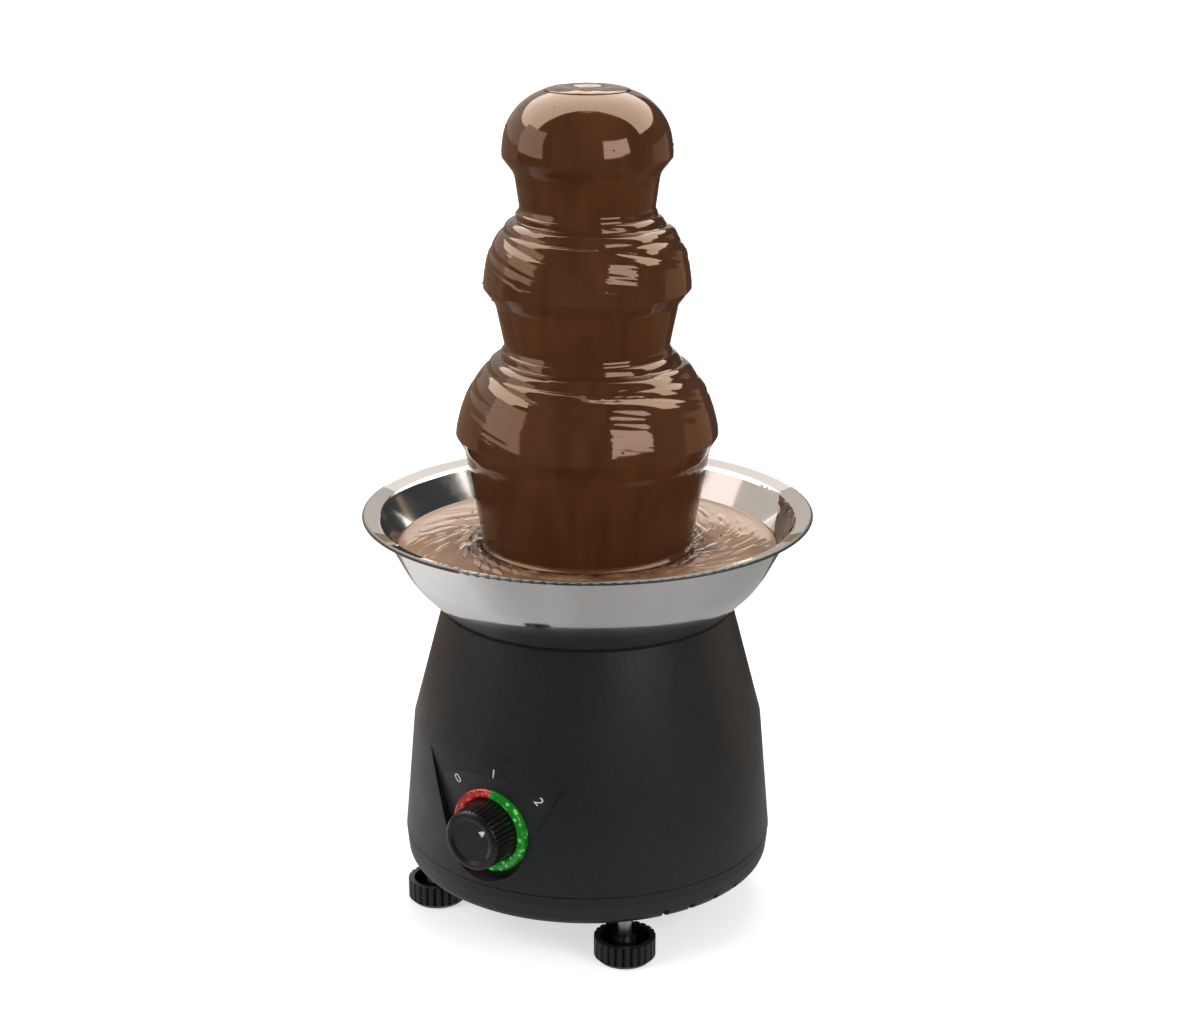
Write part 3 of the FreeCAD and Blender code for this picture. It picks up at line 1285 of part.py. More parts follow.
# Motor

def motor_stator():
    """Laminated stack with a round bore for the rotor and a window for the coil."""
    window_front = -STACK_BACK + LEG_WIDTH + WINDOW_BACK_GAP
    stack = block(-STACK_BACK, STACK_FRONT, -STACK_HALF_WIDTH, STACK_HALF_WIDTH, stack_bottom, stack_top)
    window = block(-STACK_BACK + LEG_WIDTH, window_front, -WINDOW_HALF_WIDTH, WINDOW_HALF_WIDTH, stack_bottom,
                   stack_top)
    bore = cylinder(ROTOR_RADIUS + ROTOR_GAP, stack_bottom, stack_top)
    hole = cylinder(MOTOR_SCREW_RADIUS + SEAT, stack_bottom, stack_top)
    return stack.cut([window, bore] + [moved(hole, x, y) for x, y in motor_screw_places])


def leg_sleeve(outer, inner, half_length):
    """Rectangular sleeve round the coil leg, between two distances from the faces of the leg."""
    def bar(grow):
        return block(-STACK_BACK - grow, -STACK_BACK + LEG_WIDTH + grow, -half_length, half_length,
                     stack_bottom - grow, stack_top + grow)
    return bar(outer).cut(bar(inner))


def coil_bobbin():
    """Bobbin on the leg of the stack, with a flange at each end."""
    half = WINDOW_HALF_WIDTH - LOOSE
    spool = leg_sleeve(SEAT + BOBBIN_WALL, SEAT, half)
    flange = leg_sleeve(COIL_BUILD + BOBBIN_WALL, SEAT, half)
    between = half - BOBBIN_WALL
    gap = block(-2 * STACK_BACK, 0, -between, between, 0, plate_level)
    return spool.fuse(flange.cut(gap))


def motor_coil():
    """Copper winding on the bobbin."""
    half = WINDOW_HALF_WIDTH - LOOSE - BOBBIN_WALL - SEAT
    return leg_sleeve(COIL_BUILD, 2 * SEAT + BOBBIN_WALL, half)


def motor_bridge():
    """Strap under the rotor that holds its lower bush."""
    reach = MOTOR_SCREW_ROW + BRIDGE_HALF_WIDTH
    strap = block(-BRIDGE_HALF_WIDTH, BRIDGE_HALF_WIDTH, -reach, reach, bridge_bottom, bridge_top)
    holes = [cylinder(ROTOR_BUSH_RADIUS + SNUG, 0, stack_bottom)]
    holes += [cylinder(MOTOR_SCREW_RADIUS + SEAT, 0, stack_bottom, x, y) for x, y in motor_screw_places]
    return strap.cut(holes)


def motor_spacers():
    """Tubes between bridge and stack, and between stack and lower plate."""
    spans = [(bridge_top, stack_bottom), (stack_top, plate_level)]
    return [ring(SPACER_RADIUS, MOTOR_SCREW_RADIUS + SEAT, bottom, top, x, y)
            for x, y in motor_screw_places for bottom, top in spans]


def motor_screws():
    """Screws that hang the bridge and the stack from the lower plate, with their nuts."""
    pieces = []
    for x, y in motor_screw_places:
        top = plate_top + MOTOR_NUT_WALL
        head = cylinder(SPACER_RADIUS, bridge_bottom - POST_SCREW_HEAD, bridge_bottom, x, y)
        pieces.append(head.fuse(cylinder(MOTOR_SCREW_RADIUS, bridge_bottom, top, x, y)))
        nut = hexagon(MOTOR_NUT_FLATS, plate_top, top, x, y)
        pieces.append(nut.cut(cylinder(MOTOR_SCREW_RADIUS + SNUG, 0, top, x, y)))
    return pieces


def rotor_bushes():
    """Bushes of the rotor shaft, one in the bridge and one in the lower plate."""
    levels = [(bridge_bottom + bridge_top) / 2, (plate_level + plate_top) / 2]
    half = ROTOR_BUSH_HEIGHT / 2 - PLATE_TO_PINION / 2
    inner = ROTOR_SHAFT_RADIUS + RUNNING
    return [ring(ROTOR_BUSH_RADIUS, inner, level - half, level + half) for level in levels]


def motor_rotor():
    """Laminated rotor with a cast ring at each end."""
    body = cylinder(ROTOR_RADIUS, stack_bottom, stack_top)
    ends = cylinder(END_RING_RADIUS, stack_bottom - END_RING_HEIGHT, stack_top + END_RING_HEIGHT)
    return body.fuse(ends).cut(cylinder(ROTOR_SHAFT_RADIUS + SNUG, 0, plate_level))


def rotor_shaft():
    """Steel shaft of the rotor, up into its pinion."""
    return cylinder(ROTOR_SHAFT_RADIUS, bridge_bottom - ROTOR_TAIL, pinion_bottom + PINION_WIDTH)


def build():
    """All pieces of the fountain by the name of their file."""
    lower_tier, lower_clip = tier(lower_dome())
    middle_tier, middle_clip = tier(middle_dome())
    pieces = {
        "base_tray": base_tray(),
        "tray_screws": tray_screws(),
        "housing_shell": housing_shell(),
        "cord_inlet": cord_inlet(),
        "terminal_block": terminal_block(),
        "dial_ring_red": dial_ring(90.0 - RING_SPLIT),
        "dial_ring_green": dial_ring(-90.0 - RING_SPLIT),
        "control_knob": control_knob(),
        "switch_shaft": switch_shaft(),
        "switch_body": switch_body(),
        "switch_nut": switch_nut(),
        "lamp_board": lamp_board(),
        "indicator_lamps": indicator_lamps(),
        "bowl": bowl(),
        "bowl_gasket": bowl_gasket(),
        "bowl_pins": bowl_pins(),
        "bowl_nuts": bowl_nuts(),
        "heater_plate": heater_plate(),
        "heater_element": heater_element(),
        "thermostat": thermostat(),
        "thermal_fuse": thermal_fuse(),
        "shaft_hub": shaft_hub(),
        "hub_nut": hub_nut(),
        "shaft_seal": shaft_seal(),
        "chocolate_pool": chocolate_pool(),
        "tower_tube": tower_tube(),
        "tier_lower": lower_tier,
        "tier_middle": middle_tier,
        "tier_clips": tier_clips([lower_clip, middle_clip]),
        "crown": crown(),
        "chocolate_coat": chocolate_coat(),
        "auger_screw": auger_screw(),
        "chocolate_well": chocolate_well(),
        "drive_shaft": drive_shaft(),
        "shaft_circlip": shaft_circlip(),
        "output_gear": output_gear(),
        "idler_gear": idler_gear(),
        "idler_pin": idler_pin(),
        "gearbox_lower_plate": lower_plate(),
        "gearbox_upper_plate": upper_plate_body(),
        "gearbox_spacers": gearbox_spacers(),
        "gearbox_screws": gearbox_screws(),
        "output_bush": output_bush(),
        "motor_stator": motor_stator(),
        "coil_bobbin": coil_bobbin(),
        "motor_coil": motor_coil(),
        "motor_bridge": motor_bridge(),
        "motor_spacers": motor_spacers(),
        "motor_screws": motor_screws(),
        "rotor_bushes": rotor_bushes(),
        "motor_rotor": motor_rotor(),
        "rotor_shaft": rotor_shaft(),
        "rotor_pinion": rotor_pinion(),
    }
    inserts = []
    for name, angle in foot_angles.items():
        place = polar(FOOT_CIRCLE_RADIUS, angle)
        pieces["foot_cup_" + name] = moved(foot_cup(), place.x, place.y)
        pieces["foot_stud_" + name] = moved(foot_stud(), place.x, place.y)
        inserts.append(moved(foot_insert(), place.x, place.y))
    pieces["foot_inserts"] = inserts
    return pieces


os.makedirs("parts", exist_ok=True)
for node, shape in build().items():
    if isinstance(shape, list):
        shape = Part.makeCompound(shape)
    shape.exportStep("parts/" + node + ".step")
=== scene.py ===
"""Looks of a table-top chocolate fountain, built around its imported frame. Lengths are in metres."""

import logging
import math
import random
from dataclasses import dataclass, field
from enum import Enum
from typing import Callable, Optional, Sequence, Union

import bmesh
import bpy
from mathutils import Euler, Matrix, Vector, noise
from mathutils.bvhtree import BVHTree


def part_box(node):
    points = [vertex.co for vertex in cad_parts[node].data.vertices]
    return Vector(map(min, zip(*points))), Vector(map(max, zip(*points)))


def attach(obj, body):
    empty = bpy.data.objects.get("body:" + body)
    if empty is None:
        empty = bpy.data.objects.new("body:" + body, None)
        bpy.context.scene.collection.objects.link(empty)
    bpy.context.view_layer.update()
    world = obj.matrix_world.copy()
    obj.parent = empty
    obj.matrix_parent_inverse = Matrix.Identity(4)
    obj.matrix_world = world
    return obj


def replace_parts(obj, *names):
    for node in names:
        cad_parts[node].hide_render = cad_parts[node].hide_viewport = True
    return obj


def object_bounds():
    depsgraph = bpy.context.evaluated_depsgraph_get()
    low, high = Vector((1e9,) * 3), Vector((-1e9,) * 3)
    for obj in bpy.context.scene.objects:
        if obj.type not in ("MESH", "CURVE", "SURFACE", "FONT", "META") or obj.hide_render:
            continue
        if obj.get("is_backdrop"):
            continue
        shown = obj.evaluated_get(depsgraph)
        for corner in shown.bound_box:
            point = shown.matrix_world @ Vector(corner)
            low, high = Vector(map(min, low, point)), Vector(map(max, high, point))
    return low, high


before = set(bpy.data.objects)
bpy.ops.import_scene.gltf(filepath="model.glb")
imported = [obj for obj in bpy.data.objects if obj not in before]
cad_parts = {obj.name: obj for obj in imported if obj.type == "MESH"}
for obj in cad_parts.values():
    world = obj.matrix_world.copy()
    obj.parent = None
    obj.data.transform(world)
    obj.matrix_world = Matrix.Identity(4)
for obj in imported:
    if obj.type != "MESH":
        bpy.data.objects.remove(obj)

LOG = logging.getLogger("fountain")
TURN = 2 * math.pi
WHITE = (1.0, 1.0, 1.0)
# Most of a noise lies in this span
NOISE_SPAN = (0.3, 0.7)
# Vertices that are nearer to each other become one
MERGE = 0.000001

Colour = tuple[float, float, float]
Socket = bpy.types.NodeSocket
Value = Union[float, Socket]


def rgba(colour: Union[Colour, Socket]) -> object:
    """A colour with its alpha, or a socket as it is."""
    return colour if isinstance(colour, bpy.types.NodeSocket) else (*colour, 1.0)


class ShaderBench:
    """Node tree of one material, with short calls for the nodes that the finishes share."""

    def __init__(self, name: str) -> None:
        """Starts a material of that name on a plain principled shader.

        Args:
            name: name of the material.
        """
        self.material = bpy.data.materials.new(name)
        self.material.use_nodes = True
        self.tree = self.material.node_tree
        self.shader = self.tree.nodes["Principled BSDF"]
        self.place = self.node("ShaderNodeTexCoord").outputs["Object"]

    def node(self, kind: str, **settings: object) -> bpy.types.Node:
        """Adds a node and sets its own properties.

        Args:
            kind: Blender's name for the type of node.
            settings: properties of the node, by name.

        Returns:
            The new node.
        """
        made = self.tree.nodes.new(kind)
        for name, value in settings.items():
            setattr(made, name, value)
        return made

    def feed(self, node: bpy.types.Node, name: Union[str, int], value: object) -> None:
        """Links a socket to an input of a node, or sets the input to a plain value.

        Args:
            node: the node that takes it.
            name: name or index of the input.
            value: a socket to link, or the plain value.
        """
        if isinstance(value, bpy.types.NodeSocket):
            self.tree.links.new(value, node.inputs[name])
        else:
            node.inputs[name].default_value = value

    def stretched(self, along: Sequence[float]) -> Socket:
        """Object coordinates times a factor for each axis, which draws a pattern out where it is small.

        Args:
            along: the three factors.

        Returns:
            The coordinates as a vector socket.
        """
        mapping = self.node("ShaderNodeMapping")
        self.feed(mapping, "Vector", self.place)
        self.feed(mapping, "Scale", along)
        return mapping.outputs["Vector"]

    def rings(self, across: float, along: float) -> Socket:
        """Coordinates that are even round the object's axis, for marks left by turning.

        Args:
            across: how much the distance from the axis counts.
            along: how much the height counts.

        Returns:
            A vector socket.
        """
        joined = self.node("ShaderNodeCombineXYZ")
        self.feed(joined, 0, self.math("MULTIPLY", self.radius(), across))
        self.feed(joined, 2, self.math("MULTIPLY", self.along(2), along))
        return joined.outputs[0]

    def along(self, axis: int, place: Optional[Socket] = None) -> Socket:
        """One of the three coordinates of a place, the object's own if left out.

        Args:
            axis: 0, 1 or 2.
            place: the place as a vector socket.

        Returns:
            The coordinate as a value socket.
        """
        split = self.node("ShaderNodeSeparateXYZ")
        self.feed(split, 0, place or self.place)
        return split.outputs[axis]

    def radius(self) -> Socket:
        """Distance from the object's axis."""
        squares = [self.math("MULTIPLY", self.along(i), self.along(i)) for i in (0, 1)]
        return self.math("SQRT", self.math("ADD", *squares))

    def facing_up(self) -> Socket:
        """Upward part of the true normal, -1 on an underside."""
        return self.along(2, self.node("ShaderNodeNewGeometry").outputs["Normal"])

    def turned_place(self, degrees: float) -> Socket:
        """Object coordinates in a frame turned about the axis.

        Args:
            degrees: how far the frame is turned.

        Returns:
            The coordinates as a vector socket.
        """
        mapping = self.node("ShaderNodeMapping")
        self.feed(mapping, "Vector", self.place)
        self.feed(mapping, "Rotation", (0.0, 0.0, -math.radians(degrees)))
        return mapping.outputs["Vector"]

    def ramp(self, value: Socket, stops: Sequence[tuple[float, float]]) -> Socket:
        """Grey level that follows a value through stops.

        Args:
            value: what the level depends on.
            stops: pairs of that value and the level there, in rising order.

        Returns:
            The level as a colour socket.
        """
        made = self.node("ShaderNodeValToRGB")
        low, high = stops[0][0], stops[-1][0]
        points = made.color_ramp.elements
        for _ in stops[2:]:
            points.new(0.5)
        for point, (at, level) in zip(points, stops):
            point.position = (at - low) / (high - low)
            point.color = (level, level, level, 1.0)
        self.feed(made, 0, self.between(value, 0, 1, low, high))
        return made.outputs[0]

    def math(self, operation: str, first: Value, second: Value = 0.0) -> Socket:
        """Result of one Math node.

        Args:
            operation: Blender's name for the sum.
            first: its first term.
            second: its second term, where it has one.

        Returns:
            The result as a value socket.
        """
        made = self.node("ShaderNodeMath", operation=operation)
        self.feed(made, 0, first)
        self.feed(made, 1, second)
        return made.outputs[0]

    def cloud(self, scale: float, detail: float = 3.0, place: Optional[Socket] = None,
              distortion: float = 0.0) -> Socket:
        """Noise from 0 to 1.

        Args:
            scale: features per metre.
            detail: octaves of finer noise.
            place: coordinates to read, the object's own if left out.
            distortion: how far the noise is warped.

        Returns:
            The noise as a value socket.
        """
        made = self.node("ShaderNodeTexNoise")
        self.feed(made, "Vector", place or self.place)
        self.feed(made, "Scale", scale)
        self.feed(made, "Detail", detail)
        self.feed(made, "Distortion", distortion)
        return made.outputs["Fac"]

    def cells(self, scale: float) -> Socket:
        """Distance to the nearest of many scattered points, scale of them per metre.

        Args:
            scale: points per metre.

        Returns:
            The distance as a value socket.
        """
        made = self.node("ShaderNodeTexVoronoi")
        self.feed(made, "Vector", self.place)
        self.feed(made, "Scale", scale)
        return made.outputs["Distance"]

    def between(self, value: Socket, low: float, high: float, low_at: float = 0.0,
                high_at: float = 1.0) -> Socket:
        """Value carried from the span low_at..high_at to the span low..high, and held there.

        Args:
            value: what is carried.
            low: lower end of the new span.
            high: upper end of the new span.
            low_at: lower end of the old span.
            high_at: upper end of the old span.

        Returns:
            The new value as a socket.
        """
        made = self.node("ShaderNodeMapRange")
        self.feed(made, "Value", value)
        self.feed(made, "From Min", low_at)
        self.feed(made, "From Max", high_at)
        self.feed(made, "To Min", low)
        self.feed(made, "To Max", high)
        return made.outputs["Result"]

    def mix(self, share: Value, first: Union[Colour, Socket], second: Union[Colour, Socket]) -> Socket:
        """Blend of two colours, share being that of the second.

        Args:
            share: from 0, only the first, to 1, only the second.
            first: a colour or a socket.
            second: a colour or a socket.

        Returns:
            The blend as a colour socket.
        """
        made = self.node("ShaderNodeMix", data_type="RGBA")
        self.feed(made, 0, share)
        self.feed(made, 6, rgba(first))
        self.feed(made, 7, rgba(second))
        return made.outputs[2]

    def bump(self, height: Socket, distance: float, before: Optional[Socket] = None) -> Socket:
        """Normal of a relief.

        Args:
            height: the relief from 0 to 1.
            distance: its real depth.
            before: normal of a coarser relief that it lies on.

        Returns:
            The normal as a socket.
        """
        made = self.node("ShaderNodeBump")
        self.feed(made, "Height", height)
        self.feed(made, "Distance", distance)
        if before:
            self.feed(made, "Normal", before)
        return made.outputs["Normal"]

    def glow(self, colour: Union[Colour, Socket], strength: Value) -> Socket:
        """Shader of a surface that gives light.

        Args:
            colour: colour of the light.
            strength: its strength.

        Returns:
            The shader as a socket.
        """
        made = self.node("ShaderNodeEmission")
        self.feed(made, "Color", rgba(colour))
        self.feed(made, "Strength", strength)
        return made.outputs[0]

    def show(self, shader: Socket) -> bpy.types.Material:
        """Takes a shader in place of the principled one."""
        self.feed(self.tree.nodes["Material Output"], "Surface", shader)
        return self.material

    def surface(self, **values: object) -> bpy.types.Material:
        """Sets or links inputs of the shader, an underscore in a name standing for a space.

        Args:
            values: a socket, a colour or a plain value for each input.

        Returns:
            The material.
        """
        for name, value in values.items():
            if isinstance(value, tuple) and len(value) == 3 and "Radius" not in name:
                value = (*value, 1.0)
            self.feed(self.shader, name.replace("_", " "), value)
        return self.material


class Lay(Enum):
    """Marks that the making of a metal leaves on it."""

    ROLLED = "rolled"
    TURNED = "turned"
    CAST = "cast"
    STACKED = "stacked"
    WOUND = "wound"


@dataclass(frozen=True)
class MouldedPlastic:
    """Moulded plastic with a fine spark-eroded grain and a faint mottle."""

    name: str
    colour: Colour
    roughness: float = 0.45
    grain: float = 0.0006
    depth: float = 0.00004
    mottle: float = 0.12
    glow: float = 0.0

    def ground(self, bench: ShaderBench) -> Optional[Socket]:
        """Normal that the grain lies on, or None for that of the mesh."""
        return None

    def make(self) -> bpy.types.Material:
        """Builds the material.

        Returns:
            The material.
        """
        bench = ShaderBench(self.name)
        grain = bench.cloud(1 / self.grain, 2.0)
        patches = bench.cloud(45.0, 3.0)
        darker = tuple(c * (1 - self.mottle) for c in self.colour)
        lighter = tuple(min(1.0, c * (1 + self.mottle)) for c in self.colour)
        return bench.surface(
            Base_Color=bench.mix(bench.between(grain, 0, 1, *NOISE_SPAN), darker, lighter),
            Roughness=bench.between(patches, self.roughness - 0.05, self.roughness + 0.05, *NOISE_SPAN),
            Normal=bench.bump(grain, self.depth, self.ground(bench)),
            Subsurface_Weight=self.glow,
            Subsurface_Radius=(0.002, 0.002, 0.002),
        )


@dataclass(frozen=True)
class MouldedShell(MouldedPlastic):
    """Moulded plastic of the housing, whose wall is shaded by its true curve and not by its facets.

    Foot and top are radius and height of the wall's ends, lean its slope there in degrees, and bulge how
    far its middle stands out of the straight line between them. What lies deeper than skin is left alone.
    """

    foot: tuple[float, float] = (0.0837, 0.03625)
    top: tuple[float, float] = (0.0652, 0.14195)
    bulge: float = 0.0023
    skin: float = 0.0005
    lean: tuple[float, float] = (5.1, 14.8)

    def ground(self, bench: ShaderBench) -> Optional[Socket]:
        """Normal of the true curve on the outer wall, and that of the mesh elsewhere.

        Args:
            bench: where the nodes are added.

        Returns:
            The normal as a socket.
        """
        share = bench.between(bench.along(2), 0, 1, self.foot[1], self.top[1])
        straight = bench.between(share, self.foot[0], self.top[0])
        arch = bench.math("MULTIPLY", share, bench.math("SUBTRACT", 1.0, share))
        wall = bench.math("ADD", straight, bench.math("MULTIPLY", arch, 4 * self.bulge))
        outside = bench.math("GREATER_THAN", bench.radius(), bench.math("SUBTRACT", wall, self.skin))
        lean = bench.between(share, *(math.tan(math.radians(angle)) for angle in self.lean))
        joined = bench.node("ShaderNodeCombineXYZ")
        for axis in (0, 1):
            bench.feed(joined, axis, bench.along(axis))
        bench.feed(joined, 2, bench.math("MULTIPLY", bench.radius(), lean))
        unit = bench.node("ShaderNodeVectorMath", operation="NORMALIZE")
        bench.feed(unit, 0, joined.outputs[0])
        mesh_normal = bench.node("ShaderNodeNewGeometry").outputs["Normal"]
        return bench.mix(outside, mesh_normal, unit.outputs[0])


@dataclass(frozen=True)
class SoftRubber:
    """Dull moulded rubber."""

    name: str
    colour: Colour

    def make(self) -> bpy.types.Material:
        """Builds the material.

        Returns:
            The material.
        """
        bench = ShaderBench(self.name)
        dust = bench.cloud(300.0, 5.0)
        return bench.surface(
            Base_Color=bench.mix(dust, self.colour, tuple(c * 1.4 for c in self.colour)),
            Roughness=bench.between(dust, 0.62, 0.85, *NOISE_SPAN),
            Normal=bench.bump(dust, 0.00005),
            Specular_IOR_Level=0.3,
        )


@dataclass(frozen=True)
class PolishedSheet:
    """Spun and polished steel sheet, with faint rings from its polishing and soft smudges.

    Beyond the radius of its lip it is a perfect mirror. Over the radii of its rim it turns dull and is
    painted dark, a painted shade along the rolled edge.
    """

    name: str
    colour: Colour
    roughness: float = 0.07
    ring_pitch: float = 0.0005
    lip: Optional[float] = None
    rim: Optional[tuple[float, float]] = None

    def make(self) -> bpy.types.Material:
        """Builds the material.

        Returns:
            The material.
        """
        bench = ShaderBench(self.name)
        rings = bench.cloud(1 / self.ring_pitch, 3.0, bench.rings(1.0, 1.0))
        smudges = bench.cloud(28.0, 4.0, distortion=0.6)
        worn = bench.math("ADD", bench.between(rings, 0, 0.05, *NOISE_SPAN),
                          bench.between(smudges, 0, 0.07, 0.45, 0.75))
        shade = tuple(c * 0.93 for c in self.colour)
        colour = bench.mix(bench.between(smudges, 0, 1, 0.35, 0.7), self.colour, shade)
        worn = bench.math("ADD", worn, self.roughness)
        if self.lip:
            worn = bench.math("MULTIPLY", worn, bench.math("LESS_THAN", bench.radius(), self.lip))
        # Painted shade: over the rim the steel's colour is darkened to grey as well as roughened
        if self.rim:
            edge = bench.between(bench.radius(), 0, 1, *self.rim)
            colour = bench.mix(edge, colour, (0.16, 0.16, 0.16))
            worn = bench.math("ADD", worn, bench.math("MULTIPLY", edge, 0.45))
        return bench.surface(
            Base_Color=colour,
            Metallic=1.0,
            Roughness=worn,
            Normal=bench.bump(rings, 0.0000015),
        )


@dataclass(frozen=True)
class WorkedMetal:
    """Metal of an inner part, with the marks of how it was made."""

    name: str
    colour: Colour
    roughness: float
    lay: Lay
    depth: float = 0.00001

    def relief(self, bench: ShaderBench) -> Socket:
        """The marks as a value from 0 to 1.

        Args:
            bench: where the nodes are added.

        Returns:
            The marks as a value socket.
        """
        if self.lay is Lay.ROLLED:
            return bench.cloud(1.0, 4.0, bench.stretched((120.0, 2500.0, 2500.0)))
        if self.lay is Lay.TURNED:
            return bench.cloud(1.0, 3.0, bench.stretched((60.0, 60.0, 4000.0)))
        if self.lay is Lay.CAST:
            return bench.cloud(1400.0, 4.0)
        pitch = 0.0005 if self.lay is Lay.STACKED else 0.00045
        wave = bench.math("SINE", bench.math("MULTIPLY", bench.along(2), TURN / pitch))
        return bench.between(wave, 0, 1, -1.0, 0.6 if self.lay is Lay.STACKED else 1.0)

    def make(self) -> bpy.types.Material:
        """Builds the material.

        Returns:
            The material.
        """
        bench = ShaderBench(self.name)
        relief = self.relief(bench)
        tarnish = bench.cloud(160.0, 4.0)
        shade = tuple(c * 0.72 for c in self.colour)
        grooves = bench.mix(bench.between(relief, 0.5, 0, 0.2, 0.6), self.colour, shade)
        return bench.surface(
            Base_Color=bench.mix(bench.between(tarnish, 0, 0.5, 0.4, 0.8), grooves, shade),
            Metallic=0.4 if self.lay is Lay.WOUND else 1.0,
            Roughness=bench.between(tarnish, self.roughness, self.roughness + 0.12, *NOISE_SPAN),
            Normal=bench.bump(relief, self.depth),
        )


@dataclass(frozen=True)
class FlowingChocolate:
    """Warm liquid chocolate under its own gloss, with streaks of a darker and a lighter shade.

    Inwards over the radii of the foot, if it has one, it takes a darker colour: painted shade and dark
    reflection of the curtain above it.
    """

    name: str
    dark: Colour
    light: Colour
    streak: tuple[float, float, float] = (70.0, 70.0, 14.0)
    roughness: float = 0.05
    ripple: float = 0.00006
    gloss: float = 1.9
    shine: float = 0.5
    # Painted warm light: the gloss is tinted as though lit by warm lamps
    painted_warm_tint: Colour = (1.0, 0.75, 0.55)
    foot: Optional[tuple[float, float]] = None
    painted_foot_shade: Colour = (0.150, 0.070, 0.034)

    def make(self) -> bpy.types.Material:
        """Builds the material.

        Returns:
            The material.
        """
        bench = ShaderBench(self.name)
        streaks = bench.cloud(1.0, 4.0, bench.stretched(self.streak), 0.8)
        waves = bench.cloud(95.0, 1.5, distortion=0.5)
        colour = bench.mix(bench.between(streaks, 0, 1, 0.3, 0.72), self.dark, self.light)
        # Painted shade and dark reflection of the curtain, darkening the colour towards the foot
        if self.foot:
            wander = bench.between(bench.cloud(70.0), -0.006, 0.006, *NOISE_SPAN)
            ragged = bench.math("ADD", bench.radius(), wander)
            colour = bench.mix(bench.between(ragged, 1, 0, *self.foot), colour, self.painted_foot_shade)
        return bench.surface(
            Base_Color=colour,
            Roughness=bench.between(streaks, self.roughness, self.roughness + 0.05, 0.35, 0.75),
            Normal=bench.bump(waves, self.ripple),
            IOR=self.gloss,
            # Painted shade: the gloss fades out on undersides, where it would mirror the bright floor
            Specular_IOR_Level=bench.between(bench.facing_up(), 0.04, self.shine, -0.15, -0.03),
            Specular_Tint=self.painted_warm_tint,
            Subsurface_Weight=0.1,
            Subsurface_Radius=(0.004, 0.0018, 0.0009),
        )


@dataclass(frozen=True)
class LitLens:
    """Translucent ring lit from behind: a saturated body with bright facets inside."""

    name: str
    body: Colour
    facet: Colour
    strength: float

    def make(self) -> bpy.types.Material:
        """Builds the material.

        Returns:
            The material.
        """
        bench = ShaderBench(self.name)
        facets = bench.cells(420.0)
        depth = bench.cloud(260.0, 3.0)
        lit = bench.math("MULTIPLY", bench.between(facets, 1.0, 0.0, 0.1, 0.55), depth)
        glow = bench.mix(bench.between(lit, 0, 1, 0.15, 0.55), self.body, self.facet)
        return bench.surface(
            Base_Color=bench.mix(lit, self.body, self.facet),
            Roughness=bench.between(depth, 0.08, 0.2, *NOISE_SPAN),
            Normal=bench.bump(facets, 0.0002),
            Coat_Weight=1.0,
            Coat_Roughness=0.04,
            Emission_Color=glow,
            Emission_Strength=self.strength,
        )


@dataclass(frozen=True)
class ClearLamp:
    """Clear moulded lamp."""

    name: str
    colour: Colour

    def make(self) -> bpy.types.Material:
        """Builds the material.

        Returns:
            The material.
        """
        bench = ShaderBench(self.name)
        haze = bench.cloud(700.0, 3.0)
        return bench.surface(
            Base_Color=self.colour,
            Roughness=bench.between(haze, 0.05, 0.25, *NOISE_SPAN),
            Normal=bench.bump(haze, 0.00002),
            Transmission_Weight=0.8,
        )


@dataclass(frozen=True)
class PrintedInk:
    """Pad-printed ink, slightly uneven."""

    name: str
    colour: Colour

    def make(self) -> bpy.types.Material:
        """Builds the material.

        Returns:
            The material.
        """
        bench = ShaderBench(self.name)
        cover = bench.cloud(1800.0, 3.0)
        thin = tuple(c * 0.82 for c in self.colour)
        return bench.surface(
            Base_Color=bench.mix(bench.between(cover, 0, 1, 0.25, 0.5), thin, self.colour),
            Roughness=bench.between(cover, 0.4, 0.55, *NOISE_SPAN),
        )


